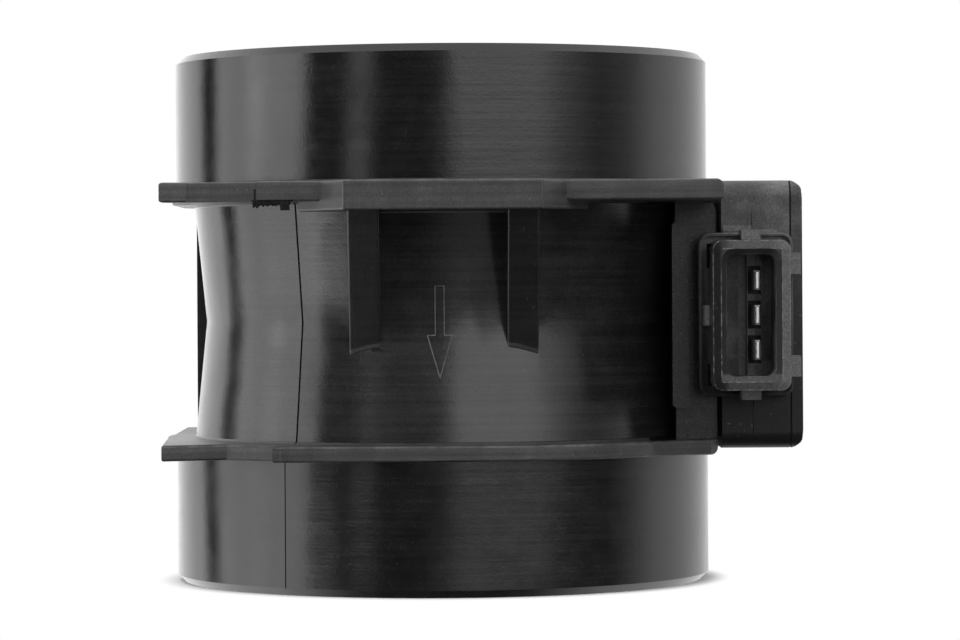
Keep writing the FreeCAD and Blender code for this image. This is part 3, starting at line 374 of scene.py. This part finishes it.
def duct_plastic():
    """Black moulded plastic: glossy and streaked round the collars and waist, grainy on the flanges."""
    material, tree, shader, place = blank("duct_plastic")
    x, y, z = add(tree, "ShaderNodeSeparateXYZ", {0: place}).outputs
    zones = duct_zones(tree, place, x, y, z)
    grain = duct_grain(tree, place)
    tone = duct_tone(tree, zones, grain)
    tree.links.new(grey(tree, tone, (0.99, 1.0, 1.01)), shader.inputs["Base Color"])
    tree.links.new(duct_roughness(tree, zones, grain, z), shader.inputs["Roughness"])
    shader.inputs["Specular IOR Level"].default_value = 0.5
    shader.inputs["Anisotropic"].default_value = 0.5
    shader.inputs["Anisotropic Rotation"].default_value = 0.25
    around = add(tree, "ShaderNodeCombineXYZ", {0: product(tree, y, -1.0), 1: x, 2: 0.0})
    tree.links.new(around.outputs[0], shader.inputs["Tangent"])
    polished = maths(tree, "SUBTRACT", 1.0, zones["grainy"])
    bump(tree, shader, [
        (product(tree, grain["streak"], polished), 0.012 * MM),
        (product(tree, grain["wide"], polished), 0.04 * MM),
        (product(tree, grain["cloud"], polished), 0.024 * MM),
        (product(tree, grain["fine"], mix(tree, zones["grainy"], 0.4, 1.0)), 0.03 * MM),
    ])
    return material


# Box material

def shroud_depth(tree, across, up):
    """How far a point lies in from the shroud's rounded outline."""
    squares = []
    for value, half in zip((across, up), SHROUD_HALF):
        beyond = maths(tree, "MAXIMUM", maths(tree, "SUBTRACT", value, half - SHROUD_CORNER_R), 0.0)
        squares.append(product(tree, beyond, beyond))
    return maths(tree, "SUBTRACT", SHROUD_CORNER_R, maths(tree, "SQRT", maths(tree, "ADD", *squares)))


def socket_tone(tree, tone, place, broad):
    """Tone of the box with the plug socket's tones over it, among them painted light and shade on its
    key, rim and sill.
    """
    x, y, z = add(tree, "ShaderNodeSeparateXYZ", {0: place}).outputs
    side = maths(tree, "SUBTRACT", x, PLUG_CENTRE[0])
    across = maths(tree, "ABSOLUTE", side)
    up = maths(tree, "ABSOLUTE", maths(tree, "SUBTRACT", z, PLUG_CENTRE[1]))
    socket = ramp(tree, y, *SOCKET_Y)
    front = ramp(tree, y, *RIM_Y)
    past = [over(tree, value, half + 0.1 * MM) for value, half in zip((across, up), SHROUD_HALF)]
    key = product(tree, maths(tree, "MAXIMUM", *past), socket)
    cavity = product(tree, under(tree, across, MOUTH_HALF[0]), under(tree, up, MOUTH_HALF[1]),
                     maths(tree, "SUBTRACT", socket, front))
    bar = inside(tree, side, BAR_X, (0.1 * MM, 0.1 * MM))
    patches = ramp(tree, broad, 0.4, 0.65, *SOCKET_TONES["patches"])
    tone = mix(tree, socket, tone, SOCKET_TONES["shroud"])
    # Painted light on the keys' front faces
    tone = mix(tree, key, tone, SOCKET_TONES["key"])
    tone = mix(tree, cavity, tone, mix(tree, bar, patches, SOCKET_TONES["bar"]))

    depth = shroud_depth(tree, across, up)
    rim = product(tree, front, inside(tree, depth, (0.0, RIM_W), (0.02 * MM, 0.02 * MM)))
    # Painted shade on the rim's left side, and painted light on its right side and in the middle of its
    # ends
    to_right = ramp(tree, side, *RIM_TURN_X)
    to_middle = ramp(tree, across, *RIM_END_X)
    sides = mix(tree, to_right, SOCKET_TONES["rim_left_shade"], SOCKET_TONES["rim_right_light"])
    tone = mix(tree, rim, tone, mix(tree, to_middle, sides, SOCKET_TONES["rim_ends_light"]))
    # Painted light on the sill, which faces up
    sill_light = product(tree, over(tree, depth, RIM_W), front, under(tree, z, PLUG_CENTRE[1] - SILL_DROP))
    tone = mix(tree, sill_light, tone, SOCKET_TONES["sill_light"])
    # Painted highlight lines along the rim's edges, broken by noise
    edge_glint = ramp(tree, noise(tree, place, 1300.0, 2.0), 0.42, 0.6, 0.1, 1.0)
    for limits in RIM_EDGES:
        line = product(tree, inside(tree, depth, limits, (0.04 * MM, 0.04 * MM)), front, edge_glint)
        tone = mix(tree, line, tone, SOCKET_TONES["rim_edge_highlight"])
    return tone


def box_plastic(name, shaded_tone, lit_tone, roughness):
    """Grained plastic of the box and its cover, with painted shade towards the bottom and painted light
    towards the top, and a smoother plug socket.
    """
    material, tree, shader, place = blank(name)
    x, y, z = add(tree, "ShaderNodeSeparateXYZ", {0: place}).outputs
    fine = noise(tree, place, 3000.0, 3.0, 0.7)
    broad = noise(tree, place, 160.0, 4.0, 0.6)
    speck = noise(tree, place, 1500.0, 1.0)
    # Painted shade towards the bottom of the box and painted light towards the top
    tone = ramp(tree, z, *BOX_SHADE_Z, shaded_tone, lit_tone)
    tone = product(tree, tone, ramp(tree, broad, 0.35, 0.65, 0.65, 1.45))
    tone = socket_tone(tree, tone, place, broad)
    tone = product(tree, tone, ramp(tree, fine, 0.3, 0.7, 0.7, 1.35))
    tone = maths(tree, "ADD", tone, ramp(tree, speck, 0.735, 0.78, 0.0, 0.06))
    tree.links.new(grey(tree, tone), shader.inputs["Base Color"])
    rough = mix(tree, broad, roughness - 0.05, roughness + 0.05)
    rough = mix(tree, ramp(tree, y, *SOCKET_Y), rough, SOCKET_ROUGHNESS)
    tree.links.new(rough, shader.inputs["Roughness"])
    shader.inputs["Specular IOR Level"].default_value = 0.35
    bump(tree, shader, [(fine, 0.02 * MM), (broad, 0.03 * MM)])
    return material


# Other materials

def grained_plastic(name, tone, roughness, scale, depth):
    """Black or grey moulded plastic with an even fine grain."""
    material, tree, shader, place = blank(name)
    fine = noise(tree, place, scale, 3.0, 0.65)
    broad = noise(tree, place, 140.0, 3.0)
    speck = noise(tree, place, 1500.0, 1.0)
    level = product(tree, ramp(tree, broad, 0.3, 0.7, 0.85, 1.18),
                    ramp(tree, fine, 0.25, 0.75, 0.7, 1.35), tone)
    level = maths(tree, "ADD", level, ramp(tree, speck, 0.735, 0.78, 0.0, 0.05))
    tree.links.new(grey(tree, level), shader.inputs["Base Color"])
    tree.links.new(mix(tree, broad, roughness - 0.06, roughness + 0.06), shader.inputs["Roughness"])
    bump(tree, shader, [(fine, depth), (broad, 0.03 * MM)])
    return material


def metal(name, colour, roughness, scale):
    """Metal with fine lines along the axis of the least scale, or an even grain at equal scales."""
    material, tree, shader, place = blank(name)
    lines = noise(tree, scaled(tree, place, scale), 1.0, 4.0, 0.6)
    broad = noise(tree, place, 300.0, 2.0)
    level = ramp(tree, lines, 0.25, 0.75, 0.85, 1.1)
    tree.links.new(grey(tree, level, colour), shader.inputs["Base Color"])
    shader.inputs["Metallic"].default_value = 1.0
    tree.links.new(mix(tree, broad, roughness - 0.08, roughness + 0.08), shader.inputs["Roughness"])
    bump(tree, shader, [(lines, 0.004 * MM)])
    return material


def pale_solid(name, colour, roughness, scale):
    """Fired ceramic or film plate, with faint mottling."""
    material, tree, shader, place = blank(name)
    broad = noise(tree, place, scale, 4.0)
    fine = noise(tree, place, 5000.0, 2.0)
    level = ramp(tree, broad, 0.25, 0.75, 0.9, 1.06)
    tree.links.new(grey(tree, level, colour), shader.inputs["Base Color"])
    tree.links.new(mix(tree, broad, roughness - 0.08, roughness + 0.08), shader.inputs["Roughness"])
    bump(tree, shader, [(fine, 0.004 * MM)])
    return material


BOX_PLASTICS = {
    "box_plastic": {"shaded_tone": 0.004, "lit_tone": 0.085, "roughness": 0.44},
    "cover_plastic": {"shaded_tone": 0.006, "lit_tone": 0.055, "roughness": 0.42},
}
GRAINED_PLASTICS = {
    "screen_plastic": {"tone": 0.03, "roughness": 0.42, "scale": 2600.0, "depth": 0.012 * MM},
    "finger_plastic": {"tone": 0.035, "roughness": 0.5, "scale": 2400.0, "depth": 0.02 * MM},
    "seal_rubber": {"tone": 0.012, "roughness": 0.7, "scale": 4200.0, "depth": 0.02 * MM},
    "chip_plastic": {"tone": 0.03, "roughness": 0.55, "scale": 5200.0, "depth": 0.01 * MM},
}
METALS = {
    "screen_wire": {"colour": (0.62, 0.62, 0.6), "roughness": 0.3, "scale": (900.0, 900.0, 900.0)},
    "contact_metal": {"colour": (0.8, 0.62, 0.32), "roughness": 0.32, "scale": (300.0, 3000.0, 3000.0)},
    "pin_metal": {"colour": (0.86, 0.86, 0.84), "roughness": 0.42, "scale": (4000.0, 300.0, 2500.0)},
    "plate_metal": {"colour": (0.7, 0.71, 0.72), "roughness": 0.38, "scale": (3000.0, 120.0, 3000.0)},
    "screw_steel": {"colour": (0.64, 0.64, 0.62), "roughness": 0.34, "scale": (2500.0, 2500.0, 2500.0)},
}
PALE_SOLIDS = {
    "film_glass": {"colour": (0.7, 0.73, 0.69), "roughness": 0.22, "scale": 500.0},
    "board_ceramic": {"colour": (0.78, 0.78, 0.74), "roughness": 0.5, "scale": 400.0},
    "capacitor_ceramic": {"colour": (0.46, 0.35, 0.22), "roughness": 0.4, "scale": 900.0},
}
LOOKS = ((box_plastic, BOX_PLASTICS), (grained_plastic, GRAINED_PLASTICS), (metal, METALS),
         (pale_solid, PALE_SOLIDS))

MATERIALS = {"duct_plastic": duct_plastic()}
for make, looks in LOOKS:
    for slot, look in looks.items():
        MATERIALS[slot] = make(slot, **look)


# Solids carried over

WELD_DISTANCE = 0.002 * MM
CREASE_ANGLE = 24.0
FLAT_FACE_WEIGHT = 100


def dress(node):
    """Gives a carried-over solid smooth faces, crisp edges and its slot's material."""
    solid = NODES[node]
    solid.data.polygons.foreach_set("use_smooth", [True] * len(solid.data.polygons))
    weld = solid.modifiers.new("weld", "WELD")
    weld.merge_threshold = WELD_DISTANCE
    split = solid.modifiers.new("edges", "EDGE_SPLIT")
    split.split_angle = math.radians(CREASE_ANGLE)
    split.use_edge_sharp = False
    weighted = solid.modifiers.new("normals", "WEIGHTED_NORMAL")
    weighted.weight = FLAT_FACE_WEIGHT
    solid.data.materials.clear()
    solid.data.materials.append(MATERIALS[SLOT_OF[node]])


for name in NODES:
    dress(name)


# Pieces added to the solids

def piece(name, mesh, slot):
    """Finished piece of the object, from its mesh and material slot."""
    made = bpy.data.objects.new(name, mesh)
    bpy.context.scene.collection.objects.link(made)
    mesh.materials.append(MATERIALS[slot])
    mesh.polygons.foreach_set("use_smooth", [True] * len(mesh.polygons))
    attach(made, "root")
    return made


def closed_mesh(name, verts, faces):
    """Mesh with all its faces turned outwards."""
    mesh = bpy.data.meshes.new(name)
    mesh.from_pydata(verts, [], faces)
    shape = bmesh.new()
    shape.from_mesh(mesh)
    bmesh.ops.recalc_face_normals(shape, faces=shape.faces)
    shape.to_mesh(mesh)
    shape.free()
    return mesh


# Woven wire screen

WIRE_PITCH = 1.8 * MM
WIRE_R = 0.125 * MM
WIRE_SIDES = 5
STEPS_PER_PITCH = 3


def woven_screen():
    """Plain weave of round wires, cut to the screen's circle."""
    low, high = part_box("inlet_mesh")
    mid_z = (low.z + high.z) / 2
    count = int(MESH_R / WIRE_PITCH)
    verts = []
    faces = []
    for across in (0, 1):
        for number in range(-count, count + 1):
            offset = number * WIRE_PITCH
            reach = math.sqrt(MESH_R ** 2 - offset ** 2)
            steps = max(2, int(2 * reach / WIRE_PITCH * STEPS_PER_PITCH))
            start = len(verts)
            for step in range(steps + 1):
                run = -reach + 2 * reach * step / steps
                wave = math.cos(math.pi * (run / WIRE_PITCH + number + across))
                for side in range(WIRE_SIDES):
                    angle = 2 * math.pi * side / WIRE_SIDES
                    out = offset + WIRE_R * math.cos(angle)
                    up = mid_z + WIRE_R * (wave + math.sin(angle))
                    verts.append((run, out, up) if across == 0 else (out, run, up))
            for step in range(steps):
                for side in range(WIRE_SIDES):
                    a = start + step * WIRE_SIDES + side
                    b = start + step * WIRE_SIDES + (side + 1) % WIRE_SIDES
                    quad = (a, b, b + WIRE_SIDES, a + WIRE_SIDES)
                    faces.append(quad if across == 0 else quad[::-1])
            end = start + steps * WIRE_SIDES
            caps = [tuple(range(start, start + WIRE_SIDES)), tuple(range(end, end + WIRE_SIDES))]
            faces.append(caps[0][::-1] if across == 0 else caps[0])
            faces.append(caps[1] if across == 0 else caps[1][::-1])
    mesh = bpy.data.meshes.new("woven_screen")
    mesh.from_pydata(verts, [], faces)
    return mesh


screen = piece("woven_screen", woven_screen(), "screen_wire")
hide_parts("inlet_mesh")


# Flow arrow on the waist, a thin raised outline that points down the duct. Its corners are in
# millimetres across and up, from the stem's upper left round to the left again.

ARROW = [(-0.94, 44.1), (0.34, 44.1), (0.34, 37.1), (1.47, 37.1), (-0.3, 31.0), (-2.07, 37.1),
         (-0.94, 37.1)]
ARROW_LINE = 0.26 * MM
ARROW_RISE = 0.12 * MM
ARROW_STEP = 0.4 * MM

# How deep every added ridge is rooted in the surface that carries it
RIDGE_ROOT = 0.05 * MM


def ridge_profile(rise):
    """Corners of a ridge's section, as shares of half its width and as heights."""
    return ((1.0, -RIDGE_ROOT), (0.5, rise), (-0.5, rise), (-1.0, -RIDGE_ROOT))


def on_waist(x, z, height):
    """Point at a height over the waist's front, from its place across and up."""
    radius = WAIST_R + (SHOULDER_R - WAIST_R) * abs(z - WAIST_Z) / WAIST_HALF_H + height
    return (x, -math.sqrt(radius ** 2 - x ** 2), z)


def flow_arrow():
    """Closed ridge along the arrow's outline, with mitred corners."""
    corners = [(x * MM, z * MM) for x, z in ARROW]
    count = len(corners)
    sides = []
    for i in range(count):
        (x0, z0), (x1, z1) = corners[i], corners[(i + 1) % count]
        length = math.hypot(x1 - x0, z1 - z0)
        sides.append((-(z1 - z0) / length, (x1 - x0) / length, length))
    verts = []
    for i in range(count):
        before, here, after = sides[i - 1], sides[i], sides[(i + 1) % count]
        mitres = []
        for a, b in ((before, here), (here, after)):
            share = 1.0 + a[0] * b[0] + a[1] * b[1]
            mitres.append(((a[0] + b[0]) / share, (a[1] + b[1]) / share))
        steps = max(1, round(here[2] / ARROW_STEP))
        start, end = corners[i], corners[(i + 1) % count]
        for step in range(steps):
            t = step / steps
            for across, height in ridge_profile(ARROW_RISE):
                shift = across * ARROW_LINE / 2
                x = (start[0] + mitres[0][0] * shift) * (1 - t) + (end[0] + mitres[1][0] * shift) * t
                z = (start[1] + mitres[0][1] * shift) * (1 - t) + (end[1] + mitres[1][1] * shift) * t
                verts.append(on_waist(x, z, height))
    rings = len(verts) // 4
    faces = []
    for ring in range(rings):
        ahead = (ring + 1) % rings
        for side in range(4):
            after = (side + 1) % 4
            faces.append((ring * 4 + side, ring * 4 + after, ahead * 4 + after, ahead * 4 + side))
    return closed_mesh("flow_arrow", verts, faces)


piece("flow_arrow", flow_arrow(), "duct_plastic")


# Raised mould lines, thin ridges that stand on the surfaces, with their places in millimetres

BLOCK_LINE_Z = 54.66
BLOCK_LINES = [(-8.5, -6.2), (-5.9, 0.4), (0.6, 3.1), (3.2, 9.1)]
BLOCK_LINE_W = 0.2 * MM
BLOCK_LINE_RISE = 0.12 * MM
BOX_LINES = [(45.1, 52.6, 57.0), (45.2, 22.4, 27.7)]
BOX_LINE_W = 0.16 * MM
BOX_LINE_RISE = 0.05 * MM
WAIST_LINE_STEPS = 12


def ridges(name, lines, width, rise):
    """Ridges with flat tops, each along rows of a place and its outward direction."""
    verts = []
    faces = []
    for rows in lines:
        start = len(verts)
        last = len(rows) - 1
        for i, (place, outward) in enumerate(rows):
            ahead = Vector(rows[min(i + 1, last)][0]) - Vector(rows[max(i - 1, 0)][0])
            outward = Vector(outward).normalized()
            side = ahead.cross(outward).normalized() * width / 2
            for across, height in ridge_profile(rise):
                verts.append(Vector(place) + side * across + outward * height)
        for i in range(start, start + last * 4, 4):
            for k in range(4):
                faces.append((i + k, i + (k + 1) % 4, i + 4 + (k + 1) % 4, i + 4 + k))
        end = start + last * 4
        faces.append((start + 3, start + 2, start + 1, start))
        faces.append((end, end + 1, end + 2, end + 3))
    return closed_mesh(name, verts, faces)


def waist_line(x0, x1, z):
    """Rows of a level line on the waist's front."""
    rows = []
    for step in range(WAIST_LINE_STEPS + 1):
        x = (x0 + (x1 - x0) * step / WAIST_LINE_STEPS) * MM
        place = on_waist(x, z * MM, 0.0)
        rows.append((place, (place[0], place[1], 0.0)))
    return rows


def box_line(x, z0, z1):
    """Rows of an upright line on the front of the electronics box."""
    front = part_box("electronics_cover")[0].y
    return [((x * MM, front, z * MM), (0.0, -1.0, 0.0)) for z in (z0, z1)]


block_rows = [waist_line(x0, x1, BLOCK_LINE_Z) for x0, x1 in BLOCK_LINES]
block_mesh = ridges("block_mould_line", block_rows, BLOCK_LINE_W, BLOCK_LINE_RISE)
piece("block_mould_line", block_mesh, "duct_plastic")
box_rows = [box_line(x, z0, z1) for x, z0, z1 in BOX_LINES]
box_mesh = ridges("box_mould_line", box_rows, BOX_LINE_W, BOX_LINE_RISE)
piece("box_mould_line", box_mesh, "box_plastic")


# Torn flash along the underside of the upper flange, left of the clip block. It hangs lowest at its
# left end, and its lower edge and its front are ragged. A crumb leans to the left at its right end.

FLASH_SEED = 4
FLASH_STEPS = 30
FLASH_X = (-26.6 * MM, -21.3 * MM)
FLASH_FRONT = -39.9 * MM
FLASH_FRONT_RAG = 0.15 * MM
FLASH_T = 0.35 * MM
FLASH_ROOT = 0.15 * MM
FLASH_DROP = 0.3 * MM
FLASH_DROP_RAG = 0.4 * MM
FLASH_LEFT_DROP = 0.5 * MM
FLASH_LEFT_FADE = 5.0
CRUMB_X = -22.7 * MM
CRUMB_LOW = -1.25 * MM
CRUMB_SIZE = (1.3 * MM, 1.2 * MM, 1.4 * MM)
CRUMB_LEAN = 0.15 * MM
BLOCK_FACES = ((0, 3, 2, 1), (4, 5, 6, 7), (0, 1, 5, 4), (1, 2, 6, 5), (2, 3, 7, 6), (3, 0, 4, 7))


def torn_flash():
    """Ragged strip that hangs from the flange's lower front edge, with a crumb at its right end."""
    chance = random.Random(FLASH_SEED)
    underside = UPPER_FLANGE_Z[0]
    verts = []
    faces = []
    for step in range(FLASH_STEPS + 1):
        share = step / FLASH_STEPS
        x = FLASH_X[0] + (FLASH_X[1] - FLASH_X[0]) * share
        drop = FLASH_LEFT_DROP * math.exp(-FLASH_LEFT_FADE * share) + FLASH_DROP
        drop += FLASH_DROP_RAG * chance.random()
        front = FLASH_FRONT + FLASH_FRONT_RAG * chance.random()
        rear = front + FLASH_T
        top = underside + FLASH_ROOT
        low = underside - drop
        verts += [(x, front, top), (x, rear, top), (x, rear, low), (x, front, low)]
    for step in range(FLASH_STEPS):
        for k in range(4):
            a, b = step * 4 + k, step * 4 + (k + 1) % 4
            faces.append((a, b, b + 4, a + 4))
    end = FLASH_STEPS * 4
    faces.append((3, 2, 1, 0))
    faces.append((end, end + 1, end + 2, end + 3))
    start = len(verts)
    wide, deep, tall = CRUMB_SIZE
    for dz in (0, 1):
        for dx, dy in ((0, 0), (1, 0), (1, 1), (0, 1)):
            verts.append((CRUMB_X + wide * dx - CRUMB_LEAN * dz, FLASH_FRONT + deep * dy,
                          underside + CRUMB_LOW + tall * dz))
    for quad in BLOCK_FACES:
        faces.append(tuple(start + k for k in quad))
    return closed_mesh("torn_flash", verts, faces)


piece("torn_flash", torn_flash(), "duct_plastic")


# Studio

FLOOR_HALF = 6.0
FLOOR_COLOUR = 0.93
FLOOR_FADE = (0.0395, 0.0435)


def studio_world():
    """White behind the camera's picture, and a dark studio with soft lights in the gloss."""
    world = bpy.data.worlds.new("studio")
    bpy.context.scene.world = world
    world.use_nodes = True
    world.cycles.sampling_method = "NONE"
    tree = world.node_tree
    way = tree.nodes.new("ShaderNodeTexCoord").outputs["Generated"]
    x, y, z = add(tree, "ShaderNodeSeparateXYZ", {0: way}).outputs
    degrees = 180.0 / math.pi
    azimuth = product(tree, maths(tree, "ARCTAN2", x, product(tree, y, -1.0)), degrees)
    elevation = product(tree, maths(tree, "ARCSINE", z), degrees)
    total = DARK_FRONT
    for light in LIGHTS:
        shape = inside(tree, azimuth, light["az"], light["edge"])
        shape = product(tree, shape, ramp(tree, elevation, *light["el"]))
        if "top" in light:
            shape = product(tree, shape, ramp(tree, elevation, *light["top"], 1.0, 0.0))
        total = maths(tree, "MULTIPLY_ADD", shape, light["level"], total)
    left = ramp(tree, azimuth, *BACKDROP_LEFT["az"], BACKDROP_LEFT["level"], 0.0)
    right = ramp(tree, azimuth, *BACKDROP_RIGHT["az"], 0.0, BACKDROP_RIGHT["level"])
    total = maths(tree, "ADD", total, maths(tree, "ADD", left, right))
    total = mix(tree, ramp(tree, elevation, *UNDERFOOT["el"]), UNDERFOOT["level"], total)
    total = mix(tree, ramp(tree, elevation, *OVERHEAD["el"]), total, OVERHEAD["level"])
    fill = ramp(tree, elevation, *ROOM_FILL["el"], *ROOM_FILL["level"])
    path = tree.nodes.new("ShaderNodeLightPath")
    total = mix(tree, path.outputs["Is Diffuse Ray"], total, fill)
    total = mix(tree, path.outputs["Is Camera Ray"], total, 1.0)
    tree.links.new(grey(tree, total), tree.nodes["Background"].inputs["Color"])


def lamp(name, place, size, power):
    """Soft square lamp aimed at the object, which adds light and no highlight of its own."""
    data = bpy.data.lights.new(name, "AREA")
    data.size = size
    data.energy = power
    made = bpy.data.objects.new(name, data)
    made.location = place
    low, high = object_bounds()
    made.rotation_euler = ((low + high) / 2 - made.location).to_track_quat("-Z", "Y").to_euler()
    made.visible_camera = False
    made.visible_glossy = False
    bpy.context.scene.collection.objects.link(made)


def floor():
    """Pale floor under the part, which keeps its shadow and turns plain white further out."""
    mesh = bpy.data.meshes.new("floor")
    corners = [(-FLOOR_HALF, -FLOOR_HALF, 0), (FLOOR_HALF, -FLOOR_HALF, 0),
               (FLOOR_HALF, FLOOR_HALF, 0), (-FLOOR_HALF, FLOOR_HALF, 0)]
    mesh.from_pydata(corners, [], [(0, 1, 2, 3)])
    made = bpy.data.objects.new("floor", mesh)
    bpy.context.scene.collection.objects.link(made)
    made.visible_glossy = False
    made.visible_diffuse = False
    material, tree, shader, place = blank("pale_floor")
    shader.inputs["Base Color"].default_value = (FLOOR_COLOUR, FLOOR_COLOUR, FLOOR_COLOUR, 1.0)
    shader.inputs["Roughness"].default_value = 0.9
    shader.inputs["Specular IOR Level"].default_value = 0.0
    away = add(tree, "ShaderNodeVectorMath", {0: place}, operation="LENGTH").outputs["Value"]
    far = ramp(tree, away, *FLOOR_FADE)
    seen = tree.nodes.new("ShaderNodeLightPath").outputs["Is Camera Ray"]
    white = add(tree, "ShaderNodeEmission", {"Color": (1.0, 1.0, 1.0, 1.0), "Strength": 1.0})
    inputs = {0: product(tree, far, seen), 1: shader.outputs[0], 2: white.outputs[0]}
    blend = add(tree, "ShaderNodeMixShader", inputs)
    tree.links.new(blend.outputs[0], tree.nodes["Material Output"].inputs["Surface"])
    mesh.materials.append(material)


def camera():
    """Camera at the photograph's place."""
    data = bpy.data.cameras.new("camera")
    data.lens = CAMERA_LENS
    data.sensor_width = 36.0
    data.shift_x, data.shift_y = CAMERA_SHIFT
    data.clip_start = 0.01
    made = bpy.data.objects.new("camera", data)
    made.location = CAMERA_PLACE
    made.rotation_euler = (math.radians(90.0), math.radians(CAMERA_ROLL), 0.0)
    bpy.context.scene.collection.objects.link(made)
    bpy.context.scene.camera = made


studio_world()
lamp("left_lamp", (-0.9, -0.6, 0.7), size=0.8, power=4.0)
lamp("right_lamp", (0.8, -0.9, 0.6), size=0.7, power=3.0)
lamp("top_lamp", (0.0, 0.1, 1.2), size=1.0, power=4.0)
floor()
camera()
bpy.context.scene.view_settings.view_transform = "Standard"
